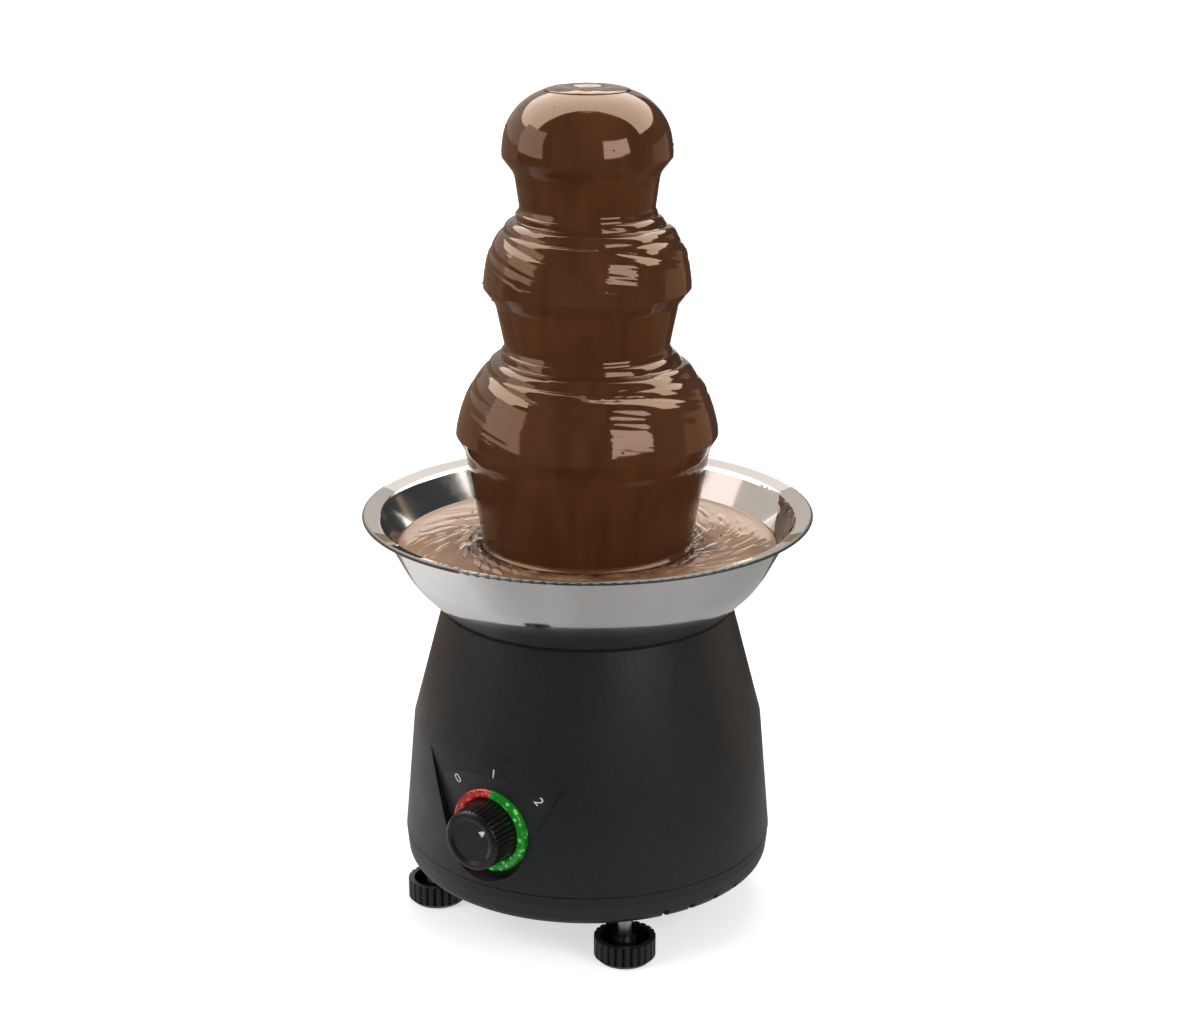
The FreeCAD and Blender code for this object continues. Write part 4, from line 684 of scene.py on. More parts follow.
FINISHES = (
    MouldedShell("housing_black", (0.019, 0.0205, 0.0235), 0.42, 0.0007, 0.00005, 0.25),
    MouldedPlastic("knob_black", (0.011, 0.011, 0.012), 0.3, 0.0004, 0.00001),
    MouldedPlastic("foot_black", (0.010, 0.010, 0.011), 0.38, 0.0005, 0.00002),
    MouldedPlastic("dark_plastic", (0.035, 0.035, 0.038), 0.5),
    SoftRubber("black_rubber", (0.018, 0.018, 0.019)),
    SoftRubber("seal_rubber", (0.24, 0.05, 0.03)),
    MouldedPlastic("white_plastic", (0.72, 0.71, 0.68), 0.4, glow=0.1),
    MouldedPlastic("board_green", (0.03, 0.16, 0.06), 0.35, 0.0015),
    ClearLamp("lamp_clear", (0.9, 0.93, 0.95)),
    LitLens("red_lens", (0.22, 0.004, 0.005), (0.75, 0.05, 0.04), 0.6),
    LitLens("green_lens", (0.006, 0.12, 0.010), (0.14, 0.80, 0.12), 0.8),
    PolishedSheet("bowl_steel", (0.78, 0.77, 0.755), lip=0.0930, rim=(0.0985, 0.0991)),
    PolishedSheet("tower_steel", (0.74, 0.73, 0.72), 0.16, 0.0004),
    WorkedMetal("shaft_steel", (0.62, 0.61, 0.60), 0.18, Lay.TURNED),
    WorkedMetal("plate_steel", (0.58, 0.58, 0.59), 0.3, Lay.ROLLED),
    WorkedMetal("zinc_steel", (0.70, 0.71, 0.74), 0.26, Lay.TURNED, 0.000006),
    WorkedMetal("thermostat_steel", (0.66, 0.65, 0.63), 0.3, Lay.ROLLED),
    WorkedMetal("fuse_steel", (0.60, 0.60, 0.61), 0.28, Lay.ROLLED),
    WorkedMetal("element_steel", (0.34, 0.31, 0.29), 0.42, Lay.CAST),
    WorkedMetal("lamination_steel", (0.33, 0.33, 0.35), 0.45, Lay.STACKED, 0.00006),
    WorkedMetal("heater_aluminium", (0.72, 0.73, 0.74), 0.38, Lay.CAST, 0.00003),
    WorkedMetal("bronze", (0.58, 0.36, 0.16), 0.32, Lay.TURNED),
    WorkedMetal("pinion_brass", (0.80, 0.60, 0.26), 0.22, Lay.TURNED),
    WorkedMetal("copper_enamel", (0.48, 0.16, 0.05), 0.25, Lay.WOUND, 0.00015),
    MouldedPlastic("bearing_nylon", (0.74, 0.72, 0.64), 0.42, glow=0.15),
    MouldedPlastic("gear_nylon", (0.78, 0.76, 0.68), 0.4, glow=0.15),
    MouldedPlastic("auger_plastic", (0.70, 0.69, 0.65), 0.35, glow=0.15),
    FlowingChocolate("chocolate", (0.082, 0.031, 0.0120), (0.116, 0.046, 0.0195)),
    FlowingChocolate("smear_chocolate", (0.105, 0.042, 0.018), (0.150, 0.066, 0.031), shine=0.15),
    # The pool's light tan is painted reflection of the bright surround, laid over the same chocolate that
    # is dark on the tiers
    FlowingChocolate("chocolate_pool", (0.33, 0.182, 0.098), (0.46, 0.262, 0.146), (55.0, 55.0, 55.0),
                     0.10, 0.00010, 1.4, 0.3, (1.0, 0.80, 0.64), (0.0480, 0.0565)),
    PrintedInk("dial_ink", (0.85, 0.85, 0.84)),
)


class Wardrobe:
    """All finishes as materials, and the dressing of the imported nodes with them."""

    def __init__(self, finishes: Sequence[object]) -> None:
        """Builds each finish once."""
        self.materials = {finish.name: finish.make() for finish in finishes}

    def dress(self, piece: bpy.types.Object, name: str) -> None:
        """Gives a new piece one finish all over."""
        piece.data.materials.clear()
        piece.data.materials.append(self.materials[name])

    def dress_nodes(self) -> int:
        """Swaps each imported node's plain material for the finish of the same slot.

        Returns:
            How many nodes were dressed.
        """
        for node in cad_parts.values():
            for slot in node.material_slots:
                slot.material = self.materials[slot.material.name.split(".")[0]]
        return len(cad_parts)


def linked(name: str, data: bpy.types.ID) -> bpy.types.Object:
    """Adds an object with that data to the scene.

    Args:
        name: the object's name.
        data: its mesh, curve, light or camera.

    Returns:
        The object.
    """
    made = bpy.data.objects.new(name, data)
    bpy.context.scene.collection.objects.link(made)
    return made


def meshed(name: str, mesh: bmesh.types.BMesh) -> bpy.types.Object:
    """Turns a bmesh, which is freed here, into an object of the scene.

    Args:
        name: the object's name.
        mesh: its shape.

    Returns:
        The object.
    """
    data = bpy.data.meshes.new(name)
    mesh.to_mesh(data)
    mesh.free()
    return linked(name, data)


def finished(name: str, mesh: bmesh.types.BMesh, body: str) -> bpy.types.Object:
    """Turns a bmesh into a smooth piece that rides on a body.

    Args:
        name: the piece's name.
        mesh: its shape, which is freed here.
        body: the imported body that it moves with.

    Returns:
        The piece, linked to the scene.
    """
    for face in mesh.faces:
        face.smooth = True
    piece = meshed(name, mesh)
    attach(piece, body)
    return piece


def wall_of(node: str) -> BVHTree:
    """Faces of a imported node, for rays to hit."""
    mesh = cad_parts[node].data
    return BVHTree.FromPolygons([v.co for v in mesh.vertices], [p.vertices for p in mesh.polygons])


def part_way(span: tuple[float, float], share: float) -> float:
    """Value that lies a share of the way along a span."""
    return span[0] + (span[1] - span[0]) * share


def rough(spot: Vector, scale: float) -> float:
    """Smooth noise from -1 to 1 at a point, with scale features per metre."""
    return noise.noise(spot * scale)


def round_at(radius: float, angle: float, level: float) -> Vector:
    """Point at a radius, a polar angle and a level."""
    return Vector((radius * math.cos(angle), radius * math.sin(angle), level))


def way_out(azimuth: float, elevation: float) -> Vector:
    """Unit vector towards an azimuth, counted in degrees from the front, and an elevation."""
    turn, rise = math.radians(azimuth), math.radians(elevation)
    return Vector((math.cos(rise) * math.sin(turn), -math.cos(rise) * math.cos(turn), math.sin(rise)))


def spin_round(mesh: bmesh.types.BMesh, row: list[bmesh.types.BMVert], steps: int, shut: bool = True,
               merge: float = MERGE) -> None:
    """Turns a row of vertices about the object's axis into a surface whose faces point outwards.

    Args:
        mesh: the bmesh that holds the row.
        row: vertices of the half section, in order.
        steps: how many faces go round.
        shut: whether the last vertex is joined to the first.
        merge: distance within which vertices become one.
    """
    following = row[1:] + row[:1] if shut else row[1:]
    edges = [mesh.edges.new(pair) for pair in zip(row, following)]
    bmesh.ops.spin(mesh, geom=row + edges, axis=(0, 0, 1), cent=(0, 0, 0), steps=steps, angle=TURN,
                   use_merge=True)
    bmesh.ops.remove_doubles(mesh, verts=mesh.verts[:], dist=merge)
    bmesh.ops.recalc_face_normals(mesh, faces=mesh.faces[:])


@dataclass
class Outline:
    """Half section of a turned surface: radius and level of its points, from the top down.

    Liquid has no sharp corners, so points taken between two levels are evened out softening times. A lip or
    a neck is the widest or the narrowest place within span above and below it.
    """

    points: list[Vector]
    softening: int = 14
    span: float = 0.006

    @classmethod
    def of_node(cls, node: str) -> "Outline":
        """Reads the outer outline of a turned node from the faces that meet the plane through its axis.

        Args:
            node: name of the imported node.

        Returns:
            The outline, one point for each level.
        """
        mesh, near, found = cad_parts[node].data, 0.00001, {}
        for face in mesh.polygons:
            corners = [mesh.vertices[i].co for i in face.vertices]
            middle = sum(corners, Vector()) / len(corners)
            outward = face.normal.x * middle.x + face.normal.y * middle.y
            for corner in corners:
                if outward > 0 and abs(corner.y) < near and corner.x > 0:
                    level = round(corner.z, 5)
                    found[level] = max(corner.x, found.get(level, 0.0))
        return cls([Vector((radius, level)) for level, radius in sorted(found.items(), reverse=True)])

    def radius(self, level: float) -> float:
        """Radius of the outline at a level.

        Args:
            level: the level.

        Returns:
            The radius, and that of the nearer end past the outline.
        """
        for upper, lower in zip(self.points, self.points[1:]):
            if upper.y >= level >= lower.y:
                return lower.x + (upper.x - lower.x) * (level - lower.y) / max(upper.y - lower.y, 1e-9)
        return self.points[0].x if level > self.points[0].y else self.points[-1].x

    def turning(self, widest: bool) -> list[float]:
        """Levels of the lips, where the outline is widest, or of the necks between them.

        Args:
            widest: whether the lips are wanted.

        Returns:
            The levels, from the top down.
        """
        sign = 1 if widest else -1
        levels = []
        for point in self.points[1:-1]:
            around = [sign * p.x for p in self.points if abs(p.y - point.y) < self.span]
            known = any(abs(point.y - seen) < self.span for seen in levels)
            if sign * point.x >= max(around) and not known:
                levels.append(point.y)
        return levels

    def between(self, top: float, bottom: float, spacing: float) -> list[Vector]:
        """Even points along the outline between two levels.

        Args:
            top: level to start from.
            bottom: level to end at.
            spacing: distance between neighbouring points.

        Returns:
            Points of radius and level.
        """
        run = [Vector((self.radius(top), top))]
        run += [p for p in self.points if bottom < p.y < top]
        run.append(Vector((self.radius(bottom), bottom)))
        even, left = [run[0]], spacing
        for start, end in zip(run, run[1:]):
            length, done = (end - start).length, 0.0
            while length - done >= left > 0:
                done += left
                even.append(start.lerp(end, done / length))
                left = spacing
            left -= length - done
        even.append(run[-1])
        for _ in range(self.softening):
            inside = [(a + 2 * b + c) / 4 for a, b, c in zip(even, even[1:], even[2:])]
            even = [even[0], *inside, even[-1]]
        return even


def turned(outer: Sequence[Vector], wall: float, steps: int, inner_points: int = 14,
           bore: float = 0.001) -> bmesh.types.BMesh:
    """Turns an outline into a closed shell about the object's axis.

    Args:
        outer: points of radius and level along the outer side.
        wall: thickness of the shell, kept on the side of the axis.
        steps: how many faces go round.
        inner_points: about how many points the hidden inner side has.
        bore: radius that the inner side keeps clear.

    Returns:
        The shell, with a vertex layer "skin" that is 1 on its outer side.
    """
    mesh = bmesh.new()
    skin = mesh.verts.layers.float.new("skin")
    coarse = list(outer[:: max(1, len(outer) // inner_points)]) + [outer[-1]]
    inner = []
    for before, after in zip(coarse, coarse[1:]):
        run = (after - before).normalized()
        middle = (before + after) / 2
        inner.append(Vector((max(middle.x + run.y * wall, bore), middle.y - run.x * wall)))
    loop = []
    for side, points in ((1.0, outer), (0.0, inner[::-1])):
        for point in points:
            vertex = mesh.verts.new((point.x, 0.0, point.y))
            vertex[skin] = side
            loop.append(vertex)
    spin_round(mesh, loop, steps)
    mesh.normal_update()
    return mesh


def fold(phase: float, roundness: float = 0.7) -> float:
    """Round-backed wave from 0 to 1 with narrow valleys, like layers of thick liquid."""
    return abs(math.sin(phase / 2)) ** roundness


def bell(share: float, middle: float, width: float) -> float:
    """Smooth hump round middle that fades out over width."""
    return math.exp(-((share - middle) / width) ** 2)


def fade(value: float, start: float, end: float) -> float:
    """Smooth step from 1 at start down to 0 at end."""
    share = min(1.0, max(0.0, (value - start) / (end - start)))
    return 1.0 - share * share * (3.0 - 2.0 * share)


@dataclass
class Folding:
    """One family of folds that wind down a dome, strongest at a middle drop and fading over a width.

    Starts is how many folds lie side by side, and drift how far noise bends them, in radians of their wave.
    """

    depth: float
    pitch: float
    starts: int
    drift: float
    middle: float
    width: float
    faint: float = 0.03
    drift_scale: float = 24.0
    drift_shift: float = 300.0

    def height(self, angle: float, drop: float, spot: Vector) -> float:
        """How far the folds stand out at a point.

        Args:
            angle: polar angle of the point.
            drop: how far it lies below the top of the dome.
            spot: the point itself.

        Returns:
            The height over the smooth form.
        """
        weight = bell(drop, self.middle, self.width)
        if weight < self.faint:
            return 0.0
        shift = Vector((0.0, 0.0, self.drift_shift * self.pitch))
        wander = self.drift * noise.noise(spot * self.drift_scale + shift)
        return self.depth * weight * fold(TURN * drop / self.pitch - self.starts * angle + wander)


@dataclass
class ChocolateTier:
    """Chocolate on one tier: landing rolls and folds over its dome, a full lip and a falling curtain.

    The relief is given by heights and widths in metres, and its scales by features per metre. Drops are
    counted from the tier's top, but that of the bead from the lip. What is called a share, and the span in
    which the curtain starts falling, are drops as a share of the way from the top to the lip.
    """

    name: str
    outline: Outline
    top: float
    lip: float
    foot: float
    roll: float = 0.0017
    roll_pitch: float = 0.0050
    roll_starts: int = 1
    roll_reach: float = 0.0085
    roll_wander: float = 0.9
    roll_scale: float = 20.0
    flare: float = 0.0011
    flare_reach: float = 0.0030
    folds: tuple[Folding, ...] = (
        Folding(0.00100, 0.0080, 5, 2.4, 0.0125, 0.0070),
        Folding(0.00026, 0.0046, 12, 3.2, 0.0180, 0.0080),
        Folding(0.00006, 0.0026, 26, 4.0, 0.0200, 0.0110),
    )
    bead: float = 0.00035
    bead_drop: float = 0.0011
    bead_width: float = 0.0007
    flute: float = 0.00022
    flute_scales: tuple[float, float, float] = (60.0, 60.0, 5.0)
    lip_wave: float = 0.0003
    lip_share: float = 0.22
    lip_scale: float = 55.0
    patchy: tuple[float, float] = (0.25, 1.55)
    patch_scale: float = 34.0
    falling: tuple[float, float] = (1.15, 1.5)
    grain: float = 0.00005
    grain_scale: float = 130.0
    tuck: float = 0.0
    wall: float = 0.0019
    spacing: float = 0.00055
    steps: int = 420

    def swell(self, spot: Vector) -> float:
        """How far the outer side stands out at a point of its smooth form.

        Args:
            spot: a point of the smooth form.

        Returns:
            The height over it.
        """
        angle, drop = math.atan2(spot.y, spot.x), self.top - spot.z
        share = drop / (self.top - self.lip)
        height = self.lip_wave * bell(share, 1.0, self.lip_share) * rough(spot, self.lip_scale)
        if share <= 1.0:
            wander = self.roll_wander * rough(spot, self.roll_scale)
            landing = fold(TURN * drop / self.roll_pitch - self.roll_starts * angle + wander)
            height += self.roll * landing * fade(drop, 0.6 * self.roll_reach, 1.4 * self.roll_reach)
            patches = part_way(self.patchy, 0.5 + 0.5 * rough(spot, self.patch_scale))
            height += sum(f.height(angle, drop, spot) for f in self.folds) * patches
        height += self.bead * bell(self.lip - spot.z, self.bead_drop, self.bead_width)
        fallen = 1.0 - fade(share, *self.falling)
        height += self.flare * fade(spot.z - self.foot - self.tuck, 0.0, self.flare_reach) * fallen
        height += self.flute * fallen * noise.noise(spot * Vector(self.flute_scales))
        return height + self.grain * rough(spot, self.grain_scale)

    def build(self, wardrobe: Wardrobe) -> bpy.types.Object:
        """Builds and dresses the tier's chocolate.

        Args:
            wardrobe: where its finish comes from.

        Returns:
            The finished piece.
        """
        outer = self.outline.between(self.top, self.foot, self.spacing)
        mesh = turned(outer, self.wall, self.steps)
        skin = mesh.verts.layers.float["skin"]
        moves = [(v, v.normal * self.swell(v.co)) for v in mesh.verts if v[skin] > 0.5]
        for vertex, move in moves:
            vertex.co += move
        piece = finished(self.name, mesh, "tower")
        wardrobe.dress(piece, "chocolate")
        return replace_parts(piece, "chocolate_coat")


@dataclass
class ChocolatePool:
    """Chocolate in the bowl: strands drawn out from the curtain's foot, rolls round it and a calm shore.

    Pairs of scales are for the noise round the curtain and for the noise across the strands.
    """

    node: str = "chocolate_pool"
    foot: float = 0.0463
    hole: float = 0.028
    rings: int = 120
    steps: int = 420
    strand: float = 0.0007
    strand_fade: float = 1.2
    strand_scales: tuple[float, float] = (9.0, 45.0)
    thread_share: float = 0.5
    thread_scales: tuple[float, float] = (21.0, 60.0)
    fleck: float = 0.00088
    fleck_least: float = 0.12
    fleck_middle: float = 0.55
    fleck_width: float = 0.38
    fleck_scales: tuple[float, float] = (26.0, 190.0)
    fleck_shift: tuple[float, float, float] = (3.0, 1.0, 0.0)
    roll: float = 0.0013
    roll_pitch: float = 0.0052
    roll_starts: int = 2
    roll_middle: float = 0.0050
    roll_width: float = 0.0060
    roll_side: float = math.radians(-120.0)
    roll_even: float = 0.62
    roll_wander: float = 1.3
    roll_scale: float = 22.0
    sweep: float = 1.5
    shore_width: float = 0.004
    meniscus: float = 0.0005
    clearance: float = 0.0002

    def drawn_out(self, swept: float, radius: float, scales: tuple[float, float]) -> Vector:
        """Place in a noise that is drawn out along the strands, from its scales round and across them."""
        return round_at(scales[0], swept, radius * scales[1])

    def height(self, spot: Vector, shore: float) -> float:
        """Works out the relief of the surface.

        Args:
            spot: a point of the resting surface.
            shore: radius at which the chocolate meets the bowl.

        Returns:
            Height over the resting level.
        """
        radius, angle = math.hypot(spot.x, spot.y), math.atan2(spot.y, spot.x)
        swept = angle - self.sweep * math.log(radius / self.foot)
        near = max(0.0, 1 - abs(radius - self.foot) / (shore - self.foot))
        strands = noise.noise(self.drawn_out(swept, radius, self.strand_scales))
        strands += self.thread_share * noise.noise(self.drawn_out(swept, radius, self.thread_scales))
        height = self.strand * strands * near ** self.strand_fade
        spotted = noise.noise(self.drawn_out(swept, radius, self.fleck_scales) + Vector(self.fleck_shift))
        flecks = max(0.0, spotted - self.fleck_least)
        height += self.fleck * flecks * bell(near, self.fleck_middle, self.fleck_width)
        reach = radius - self.foot
        wander = self.roll_wander * rough(spot, self.roll_scale)
        turns = fold(TURN * reach / self.roll_pitch - self.roll_starts * angle + wander)
        side = self.roll_even + (1 - self.roll_even) * math.cos(angle - self.roll_side)
        height += self.roll * turns * bell(reach, self.roll_middle, self.roll_width) * side
        edge = max(0.0, 1 - (shore - radius) / self.shore_width)
        return height * (1 - edge) + self.meniscus * edge ** 2

    def build(self, wardrobe: Wardrobe) -> bpy.types.Object:
        """Builds and dresses the pool.

        Args:
            wardrobe: where its finish comes from.

        Returns:
            The finished piece.
        """
        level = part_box(self.node)[1].z
        wetted = Outline.of_node(self.node).points
        shore = wetted[0].x - self.clearance / 2
        run = (shore - self.hole) / self.rings
        surface = [Vector((self.hole + run * i, level)) for i in range(self.rings + 1)]
        under = [Vector((p.x - self.clearance, p.y + self.clearance)) for p in wetted[1:]]
        under.append(Vector((self.hole, wetted[-1].y + self.clearance)))
        mesh = bmesh.new()
        loop = [mesh.verts.new((p.x, 0.0, p.y)) for p in surface + under]
        spin_round(mesh, loop, self.steps)
        for vertex in mesh.verts:
            if abs(vertex.co.z - level) < MERGE:
                vertex.co.z += self.height(vertex.co, shore)
        piece = finished("chocolate_pool_surface", mesh, "root")
        wardrobe.dress(piece, "chocolate_pool")
        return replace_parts(piece, self.node)


@dataclass
class ChocolateWell:
    """Chocolate that wells up in the throat of the crown, feathering out over the crown's edge."""

    node: str = "chocolate_well"
    crest_radius: float = 0.0095
    crater_radius: float = 0.0050
    crater: float = 0.0014
    feather: float = 0.0022
    feather_slope: float = 0.34
    feather_wall: float = 0.00025
    feather_sink: float = 0.0002
    skirt: float = 0.0008
    ripple: float = 0.00018
    ripple_scale: float = 170.0
    curve_steps: int = 8
    steps: int = 240

    def build(self, wardrobe: Wardrobe, coat: Outline) -> bpy.types.Object:
        """Builds and dresses the well.

        Args:
            wardrobe: where its finish comes from.
            coat: outline of the chocolate that it runs out on.

        Returns:
            The finished piece.
        """
        low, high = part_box(self.node)
        edge = coat.points[0]
        rim = Vector((edge.x + self.feather, edge.y - self.feather * self.feather_slope))
        corners = [
            Vector((0.0, high.z - self.crater)),
            Vector((self.crater_radius, high.z - self.crater)),
            Vector((self.crest_radius, high.z)),
            Vector((edge.x, edge.y + self.feather_wall)),
            rim,
        ]
        curve = [corners[0]]
        for start, control, end in zip(corners, corners[1:], corners[2:]):
            first, last = (start + control) / 2, (control + end) / 2
            for step in range(self.curve_steps + 1):
                t = step / self.curve_steps
                curve.append(first * (1 - t) ** 2 + control * 2 * t * (1 - t) + last * t * t)
        curve += [rim, Vector((high.x, edge.y - self.skirt)), Vector((high.x, low.z)), Vector((0.0, low.z))]
        mesh = bmesh.new()
        loop = [mesh.verts.new((p.x, 0.0, p.y)) for p in curve]
        spin_round(mesh, loop, self.steps, shut=False, merge=10 * MERGE)
        for vertex in mesh.verts:
            if vertex.co.z > edge.y - self.feather_sink:
                vertex.co.z += self.ripple * rough(vertex.co, self.ripple_scale)
        piece = finished("chocolate_well_surface", mesh, "auger")
        wardrobe.dress(piece, "chocolate")
        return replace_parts(piece, self.node)


@dataclass
class WallSmear:
    """Thin smear of chocolate that clings to the inner wall of the bowl above the pool.

    Its levels and azimuths are those of its lower and its upper end. Ragged and frayed are how far its edge
    wanders, as shares of its half width, and so is the bevel over which it gets its thickness.
    """

    levels: tuple[float, float] = (0.1692, 0.1835)
    azimuths: tuple[float, float] = (26.0, 38.0)
    half_width: float = 14.0
    sink: float = 0.0001
    thickness: float = 0.0006
    bevel: float = 0.25
    narrowing: tuple[float, float] = (-0.2, 0.9)
    ragged: float = 0.35
    ragged_scales: tuple[float, float] = (14.0, 260.0)
    frayed: float = 0.2
    frayed_scale: float = 420.0
    columns: int = 90
    rows: int = 60

    def build(self, wardrobe: Wardrobe) -> bpy.types.Object:
        """Builds and dresses the smear.

        Args:
            wardrobe: where its finish comes from.

        Returns:
            The finished piece.
        """
        wall, mesh = wall_of("bowl"), bmesh.new()
        bmesh.ops.create_grid(mesh, x_segments=self.columns, y_segments=self.rows, size=1.0)
        bare = []
        for vertex in mesh.verts:
            across, up = vertex.co.x, (vertex.co.y + 1) / 2
            level = part_way(self.levels, up)
            angle = math.radians(part_way(self.azimuths, up) + self.half_width * across)
            way = round_at(1.0, angle, 0.0)
            hit = wall.ray_cast(Vector((0.0, 0.0, level)), way)[0]
            along, down = self.ragged_scales
            cover = 1.0 - max(abs(across), part_way(self.narrowing, up))
            cover += self.ragged * noise.noise(Vector((angle * along, level * down, 0.0)))
            cover += self.frayed * rough(hit, self.frayed_scale)
            if cover < 0:
                bare.append(vertex)
                continue
            vertex.co = hit - way * (self.thickness * min(1.0, cover / self.bevel) - self.sink)
        bmesh.ops.delete(mesh, geom=bare, context="VERTS")
        bmesh.ops.recalc_face_normals(mesh, faces=mesh.faces[:])
        bmesh.ops.solidify(mesh, geom=mesh.faces[:], thickness=self.sink)
        piece = finished("bowl_wall_smear", mesh, "root")
        wardrobe.dress(piece, "smear_chocolate")
        return piece


@dataclass
class DialMarks:
    """Plain numerals round the dial and the pointer on the knob."""

    turns: tuple[float, ...] = (-43.0, 5.0, 53.0)
    reaches: tuple[float, ...] = (0.0262, 0.0268, 0.0300)
    size: float = 0.0062
    print_lift: float = 0.00005
    print_wall: float = 0.00012
    pointer_turn: float = 50.0
    pointer_reach: float = 0.0078
    pointer_size: float = 0.0023
    pointer_form: tuple[float, float] = (0.8, 1.15)
    pointer_sink: float = 0.0008

    def centre(self) -> Vector:
        """Point where the axis of the dial leaves the front of the knob."""
        low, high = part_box("control_knob")
        return Vector(((low.x + high.x) / 2, low.y, (low.z + high.z) / 2))

    def place(self, turn: float, reach: float, sink: float = 0.0) -> Matrix:
        """Where a mark stands on the dial.

        Args:
            turn: how far round the dial it is, in degrees from the top.
            reach: how far it is from the axis of the dial.
            sink: how far it lies behind the front of the knob.

        Returns:
            The matrix that carries the mark there from a flat sheet.
        """
        angle = math.radians(turn)
        spot = self.centre() + Vector((math.sin(angle) * reach, sink, math.cos(angle) * reach))
        upright = Euler((math.pi / 2, 0, 0)).to_matrix().to_4x4()
        return Matrix.Translation(spot) @ upright @ Matrix.Rotation(-angle, 4, "Z")

    def numerals(self, wardrobe: Wardrobe) -> bpy.types.Object:
        """Prints one numeral at each stop of the knob, laid on the housing.

        Args:
            wardrobe: where the ink comes from.

        Returns:
            The finished piece.
        """
        wall, mesh = wall_of("housing_shell"), bmesh.new()
        for number, (turn, reach) in enumerate(zip(self.turns, self.reaches)):
            text = bpy.data.curves.new(f"numeral_{number}", "FONT")
            text.body, text.size = str(number), self.size
            text.align_x, text.align_y = "CENTER", "CENTER"
            holder = linked(text.name, text)
            bpy.context.view_layer.update()
            depsgraph = bpy.context.evaluated_depsgraph_get()
            flat = bpy.data.meshes.new_from_object(holder.evaluated_get(depsgraph))
            bpy.data.objects.remove(holder)
            flat.transform(self.place(turn, reach))
            mesh.from_mesh(flat)
        bmesh.ops.triangulate(mesh, faces=mesh.faces[:])
        for vertex in mesh.verts:
            start = Vector((vertex.co.x, self.centre().y, vertex.co.z))
            hit = wall.ray_cast(start, Vector((0.0, 1.0, 0.0)))[0]
            vertex.co = hit - Vector((0.0, self.print_lift, 0.0))
        bmesh.ops.recalc_face_normals(mesh, faces=mesh.faces[:])
        bmesh.ops.solidify(mesh, geom=mesh.faces[:], thickness=self.print_wall)
        piece = finished("dial_numerals", mesh, "root")
        wardrobe.dress(piece, "dial_ink")
        return piece

    def pointer(self, wardrobe: Wardrobe) -> bpy.types.Object:
        """Prints the small triangle on the dished front of the knob.

        Args:
            wardrobe: where the ink comes from.

        Returns:
            The finished piece.
        """
        mesh = bmesh.new()
        bmesh.ops.create_cone(mesh, cap_ends=True, segments=3, radius1=self.pointer_size,
                              radius2=self.pointer_size, depth=self.print_wall)
        place = self.place(self.pointer_turn, self.pointer_reach, self.pointer_sink)
        slender = Matrix.Diagonal((*self.pointer_form, 1.0, 1.0))
        bmesh.ops.transform(mesh, matrix=place @ slender, verts=mesh.verts[:])
        piece = finished("knob_pointer", mesh, "knob")
        wardrobe.dress(piece, "dial_ink")
        return piece


@dataclass
class Bubbles:
    """Small air bubbles caught in the skin of the chocolate, all in one piece."""

    name: str
    body: str
    slot: str
    count: int
    seed: int = 11
    smallest: float = 0.00022
    largest: float = 0.0006

    def build(self, wardrobe: Wardrobe, spot: Callable[[random.Random], Vector]) -> bpy.types.Object:
        """Scatters and dresses the bubbles.

        Args:
            wardrobe: where their finish comes from.
            spot: draws a point of the surface that carries them.

        Returns:
            The finished piece.
        """
        draw, mesh = random.Random(self.seed), bmesh.new()
        for _ in range(self.count):
            size = draw.uniform(self.smallest, self.largest)
            matrix = Matrix.Translation(spot(draw)) @ Matrix.Scale(size, 4)
            bmesh.ops.create_icosphere(mesh, subdivisions=2, radius=1.0, matrix=matrix)
        piece = finished(self.name, mesh, self.body)
        wardrobe.dress(piece, self.slot)
        return piece


class Running(Enum):
    """Names of the three tiers, from the top down."""

    CROWN = "chocolate_crown"
    MIDDLE = "chocolate_middle_tier"
    LOWER = "chocolate_lower_tier"


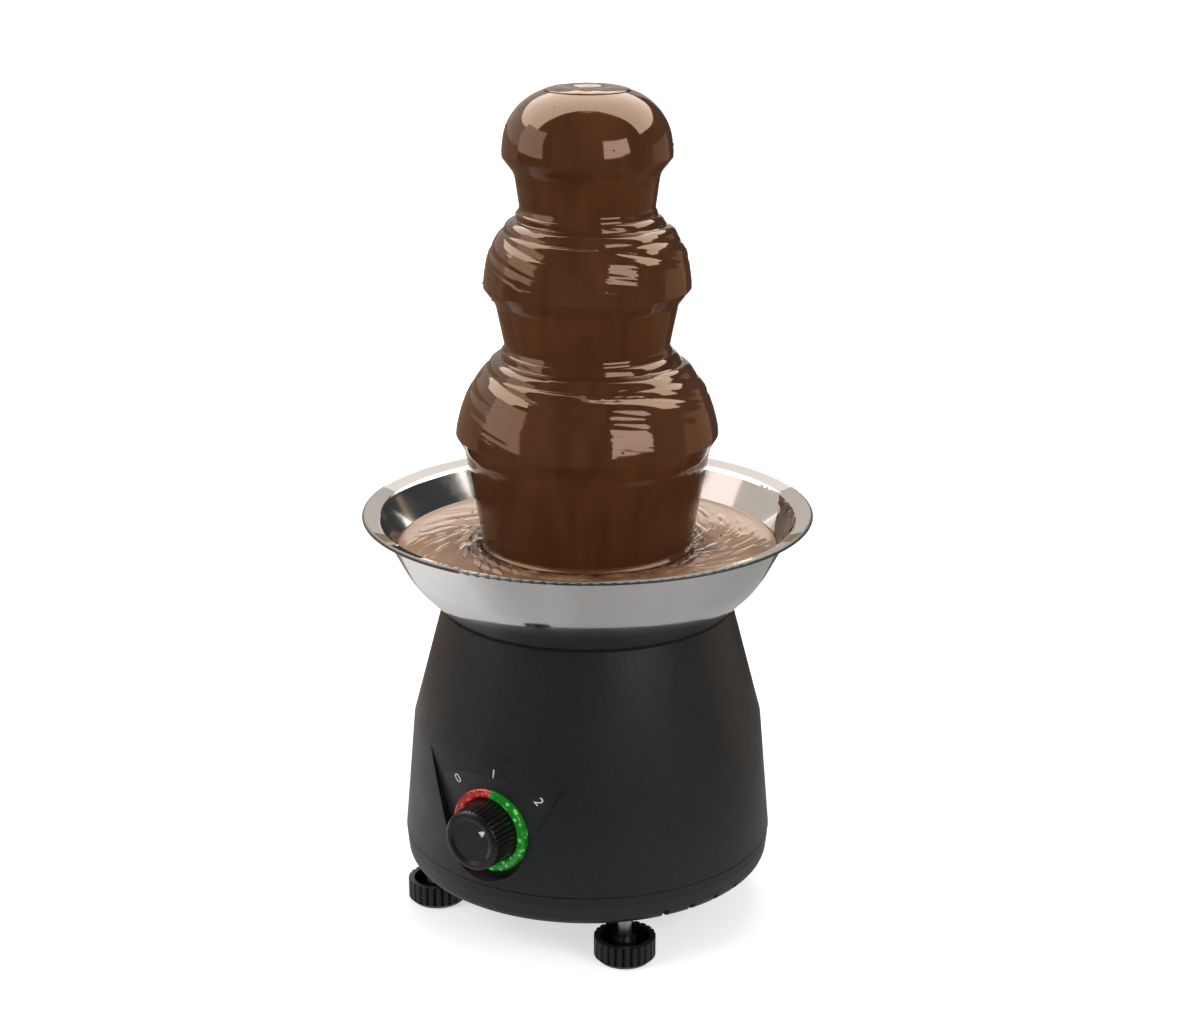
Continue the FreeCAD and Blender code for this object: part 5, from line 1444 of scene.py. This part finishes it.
@dataclass
class Fountain:
    """All running chocolate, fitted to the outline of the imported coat."""

    coat: Outline = field(default_factory=lambda: Outline.of_node("chocolate_coat"))
    tuck: float = 0.0022
    crown_levels: tuple[float, float] = (0.340, 0.367)
    tier_levels: tuple[float, float] = (0.180, 0.335)
    pool_radii: tuple[float, float] = (0.055, 0.080)

    def tiers(self) -> list[ChocolateTier]:
        """The three tiers, cut from the outline at its necks, each foot tucked into the next one's rolls.

        Returns:
            The tiers, from the top down.
        """
        lips, necks = self.coat.turning(True), self.coat.turning(False)
        LOG.info("lips at %s, necks at %s", lips, necks)
        top, bottom = self.coat.points[0].y, self.coat.points[-1].y
        return [
            ChocolateTier(Running.CROWN.value, self.coat, top, lips[0], necks[0] - self.tuck, roll=0.0,
                          folds=(), bead=0.0002, lip_wave=0.0002, tuck=self.tuck, steps=360),
            ChocolateTier(Running.MIDDLE.value, self.coat, necks[0], lips[1], necks[1] - self.tuck,
                          tuck=self.tuck),
            ChocolateTier(Running.LOWER.value, self.coat, necks[1], lips[2], bottom, steps=480,
                          spacing=0.0006),
        ]

    def tower_spot(self, draw: random.Random) -> Vector:
        """A point of the crown or of a curtain, for a bubble.

        Args:
            draw: the source of chance.

        Returns:
            The point.
        """
        levels = self.crown_levels if draw.random() < 0.5 else self.tier_levels
        level = draw.uniform(*levels)
        return round_at(self.coat.radius(level), draw.uniform(0, TURN), level)

    def pool_spot(self, draw: random.Random) -> Vector:
        """A point of the pool, for a bubble."""
        angle, radius = draw.uniform(0, TURN), draw.uniform(*self.pool_radii)
        return round_at(radius, angle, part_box("chocolate_pool")[1].z)

    def build(self, wardrobe: Wardrobe) -> list[bpy.types.Object]:
        """Builds all running chocolate.

        Args:
            wardrobe: where its finishes come from.

        Returns:
            The finished pieces.
        """
        made = [tier.build(wardrobe) for tier in self.tiers()]
        made.append(ChocolatePool().build(wardrobe))
        made.append(ChocolateWell().build(wardrobe, self.coat))
        made.append(WallSmear().build(wardrobe))
        made.append(Bubbles("tower_bubbles", "tower", "chocolate", 46).build(wardrobe, self.tower_spot))
        made.append(Bubbles("pool_bubbles", "root", "chocolate_pool", 40).build(wardrobe, self.pool_spot))
        return made


def shown_in_gloss(name: str, mesh: bmesh.types.BMesh,
                   material: bpy.types.Material) -> bpy.types.Object:
    """Makes a bmesh a part of the stage that neither the camera sees nor the surfaces are lit by.

    Args:
        name: its name.
        mesh: its shape, which is freed here.
        material: the light that it gives.

    Returns:
        The object, marked as stage.
    """
    card = meshed(name, mesh)
    card.data.materials.append(material)
    card.visible_camera = card.visible_diffuse = card.visible_shadow = False
    card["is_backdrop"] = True
    return card


@dataclass(frozen=True)
class Card:
    """Sheet of light or shade that only shows in gloss, a patch of a sphere round the object.

    Azimuths are in degrees from the side of the camera towards its right, elevations from the level of its
    middle. The share mirrored is how much of its light a perfect mirror shows, such as the bowl's lip.
    """

    name: str
    azimuths: tuple[float, float]
    elevations: tuple[float, float]
    distance: float
    colour: Colour
    strength: float
    mirrored: float = 1.0
    middle: float = 0.25

    def build(self, facing: float) -> bpy.types.Object:
        """Builds the card.

        Args:
            facing: azimuth of the camera in the frame, in degrees.

        Returns:
            The card, marked as stage.
        """
        mesh = bmesh.new()
        bmesh.ops.create_grid(mesh, x_segments=24, y_segments=16, size=0.5)
        for vertex in mesh.verts:
            azimuth = part_way(self.azimuths, vertex.co.x + 0.5) + facing
            way = way_out(azimuth, part_way(self.elevations, vertex.co.y + 0.5))
            vertex.co = way * self.distance + Vector((0.0, 0.0, self.middle))
        bench = ShaderBench(self.name)
        sharp = bench.node("ShaderNodeLightPath").outputs["Is Singular Ray"]
        strength = bench.between(sharp, self.strength, self.strength * self.mirrored)
        return shown_in_gloss(self.name, mesh, bench.show(bench.glow(self.colour, strength)))


@dataclass(frozen=True)
class Lamp:
    """Soft area lamp aimed at the middle of the object."""

    name: str
    azimuth: float
    elevation: float
    distance: float
    size: float
    power: float
    colour: Colour = WHITE

    def build(self, facing: float, aim: Vector) -> bpy.types.Object:
        """Builds the lamp.

        Args:
            facing: azimuth of the camera in the frame, in degrees.
            aim: point that the lamp faces.

        Returns:
            The lamp.
        """
        data = bpy.data.lights.new(self.name, "AREA")
        data.shape, data.size, data.energy, data.color = "DISK", self.size, self.power, self.colour
        lamp, way = linked(self.name, data), way_out(self.azimuth + facing, self.elevation)
        lamp.location = aim + way * self.distance
        lamp.rotation_euler = (-way).to_track_quat("-Z", "Y").to_euler()
        lamp.visible_glossy = False
        return lamp


@dataclass
class Studio:
    """White floor and surround, soft lamps, and the cards that show in gloss.

    Where a shade changes over the floor it is given by stops, pairs of a distance and the shade there.
    """

    facing: float
    floor_radius: float = 9.0
    ambient: float = 0.36
    # Painted shade: the floor's glow for the camera is weaker near the object, on top of its real shadow
    floor_lift: tuple[tuple[float, float], ...] = ((0.10, 0.60), (0.35, 0.72), (0.75, 1.0))
    under_radius: float = 0.34
    under_lift: float = 0.001
    under_glow: tuple[tuple[float, float], ...] = (
        (-0.30, 0.30), (-0.05, 0.42), (0.0, 0.37), (0.06, 0.40), (0.14, 0.42), (0.22, 0.36), (0.30, 0.15),
    )
    under_left: tuple[tuple[float, float], ...] = ((-0.26, 0.70), (-0.17, 0.34), (-0.05, 0.02), (0.0, 0.0))
    under_front: tuple[tuple[float, float], ...] = ((0.14, 1.0), (0.30, 0.08))
    left_front: tuple[tuple[float, float], ...] = ((0.03, 1.0), (0.11, 0.0))
    cards: tuple[Card, ...] = (
        Card("overhead_card", (82.0, 278.0), (27.0, 90.0), 2.6, (1.0, 0.93, 0.86), 3.4, 0.29),
        Card("left_sweep_card", (165.0, 262.0), (4.0, 27.0), 2.7, (1.0, 0.90, 0.82), 0.6),
        Card("front_flag", (-106.0, 100.0), (-80.0, 84.0), 3.0, (0.9, 0.95, 1.0), 0.03),
        Card("left_low_card", (178.0, 256.0), (-80.0, 4.0), 3.1, (1.0, 0.72, 0.50), 0.30),
        Card("right_fill_card", (95.0, 138.0), (-60.0, 8.0), 2.5, (1.0, 0.72, 0.48), 0.36),
        Card("right_flag", (60.0, 165.0), (-80.0, 27.0), 2.9, (0.9, 0.95, 1.0), 0.05),
        Card("left_window", (-105.0, -62.0), (2.0, 34.0), 2.2, (1.0, 0.85, 0.80), 1.3),
        Card("right_window", (22.0, 58.0), (8.0, 27.0), 2.2, (1.0, 0.90, 0.95), 2.9),
    )
    lamps: tuple[Lamp, ...] = (
        Lamp("overhead_lamp", 170.0, 68.0, 1.9, 1.2, 15.0),
        Lamp("left_lamp", -62.0, 34.0, 1.8, 0.9, 9.0),
        Lamp("right_lamp", 48.0, 28.0, 1.8, 0.8, 8.0, (1.0, 0.88, 0.76)),
    )

    def background_rays(self, tree: bpy.types.NodeTree) -> Socket:
        """Share that is 1 for rays from the camera, in gloss or through glass, which see the surround.

        Args:
            tree: where the nodes are added.

        Returns:
            The share as a value socket.
        """
        path = tree.nodes.new("ShaderNodeLightPath")
        share = path.outputs["Is Camera Ray"]
        for name in ("Is Glossy Ray", "Is Transmission Ray"):
            joined = tree.nodes.new("ShaderNodeMath")
            joined.operation = "MAXIMUM"
            tree.links.new(share, joined.inputs[0])
            tree.links.new(path.outputs[name], joined.inputs[1])
            share = joined.outputs[0]
        return share

    def surround(self) -> None:
        """Makes the world white to the eye and a soft ambient light to the surfaces."""
        world = bpy.data.worlds.new("surround")
        bpy.context.scene.world = world
        world.use_nodes = True
        tree = world.node_tree
        background = tree.nodes["Background"]
        background.inputs["Color"].default_value = (*WHITE, 1.0)
        strength = tree.nodes.new("ShaderNodeMapRange")
        tree.links.new(self.background_rays(tree), strength.inputs["Value"])
        strength.inputs["To Min"].default_value = self.ambient
        strength.inputs["To Max"].default_value = 1.0
        tree.links.new(strength.outputs["Result"], background.inputs["Strength"])

    def floor(self) -> bpy.types.Object:
        """Builds the floor, white where the camera sees it lit far out, greyed near the object by painted
        shade, and darker in the object's shadow.

        Returns:
            The floor, marked as stage.
        """
        mesh = bmesh.new()
        bmesh.ops.create_circle(mesh, cap_ends=True, segments=96, radius=self.floor_radius)
        bench = ShaderBench("floor_white")
        bench.surface(Base_Color=(0.86, 0.86, 0.86), Roughness=0.9, Specular_IOR_Level=0.0)
        lift = bench.ramp(bench.radius(), self.floor_lift)
        both = bench.node("ShaderNodeAddShader")
        bench.feed(both, 0, bench.shader.outputs[0])
        bench.feed(both, 1, bench.glow(lift, self.background_rays(bench.tree)))
        floor = meshed("floor", mesh)
        floor.data.materials.append(bench.show(both.outputs[0]))
        floor.visible_glossy = False
        floor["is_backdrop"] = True
        return floor

    def under_card(self) -> bpy.types.Object:
        """Builds the disc that stands for the floor in gloss, shaded as the bowl shows it mirrored.

        Returns:
            The disc, marked as stage.
        """
        mesh = bmesh.new()
        bmesh.ops.create_circle(mesh, cap_ends=True, segments=96, radius=self.under_radius)
        bmesh.ops.translate(mesh, verts=mesh.verts[:], vec=(0.0, 0.0, self.under_lift))
        bench = ShaderBench("under_card")
        place = bench.turned_place(self.facing)
        sideways, front = bench.along(0, place), bench.math("MULTIPLY", bench.along(1, place), -1.0)
        common, left = (
            bench.math("MULTIPLY", bench.ramp(sideways, across), bench.ramp(front, ahead))
            for across, ahead in ((self.under_glow, self.under_front), (self.under_left, self.left_front))
        )
        glow = bench.glow(WHITE, bench.math("ADD", common, left))
        card = shown_in_gloss("under_card", mesh, bench.show(glow))
        card.visible_transmission = False
        return card

    def build(self) -> None:
        """Builds the whole studio."""
        low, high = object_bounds()
        self.surround()
        self.floor()
        self.under_card()
        for card in self.cards:
            card.build(self.facing)
        for lamp in self.lamps:
            lamp.build(self.facing, (low + high) / 2)


@dataclass
class PhotoCamera:
    """Camera at the photograph's viewing angle."""

    azimuth: float = 33.5
    reach: float = 0.9548
    height: float = 0.486
    tilt: float = 72.36
    lens: float = 67.47
    sensor: float = 36.0
    shift: float = 0.0104

    def build(self) -> bpy.types.Object:
        """Builds the camera and makes it the scene's own.

        Returns:
            The camera.
        """
        data = bpy.data.cameras.new("photo_camera")
        data.sensor_width, data.lens, data.shift_x = self.sensor, self.lens, self.shift
        camera = linked("photo_camera", data)
        turn = math.radians(self.azimuth)
        camera.location = (math.sin(turn) * self.reach, -math.cos(turn) * self.reach, self.height)
        camera.rotation_euler = (math.radians(self.tilt), 0.0, turn)
        bpy.context.scene.camera = camera
        return camera


def main() -> None:
    """Builds the looks piece by piece."""
    logging.basicConfig(level=logging.INFO, format="%(name)s: %(message)s")
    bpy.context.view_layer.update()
    bpy.context.scene.view_settings.view_transform = "Standard"
    camera = PhotoCamera()
    camera.build()
    LOG.info("camera set at azimuth %.1f", camera.azimuth)
    wardrobe = Wardrobe(FINISHES)
    LOG.info("dressed %d nodes", wardrobe.dress_nodes())
    marks = DialMarks()
    for piece in (marks.numerals(wardrobe), marks.pointer(wardrobe)):
        LOG.info("printed %s", piece.name)
    for piece in Fountain().build(wardrobe):
        LOG.info("built %s with %d faces", piece.name, len(piece.data.polygons))
    Studio(camera.azimuth).build()
    LOG.info("studio lit")


if __name__ == "__main__":
    main()
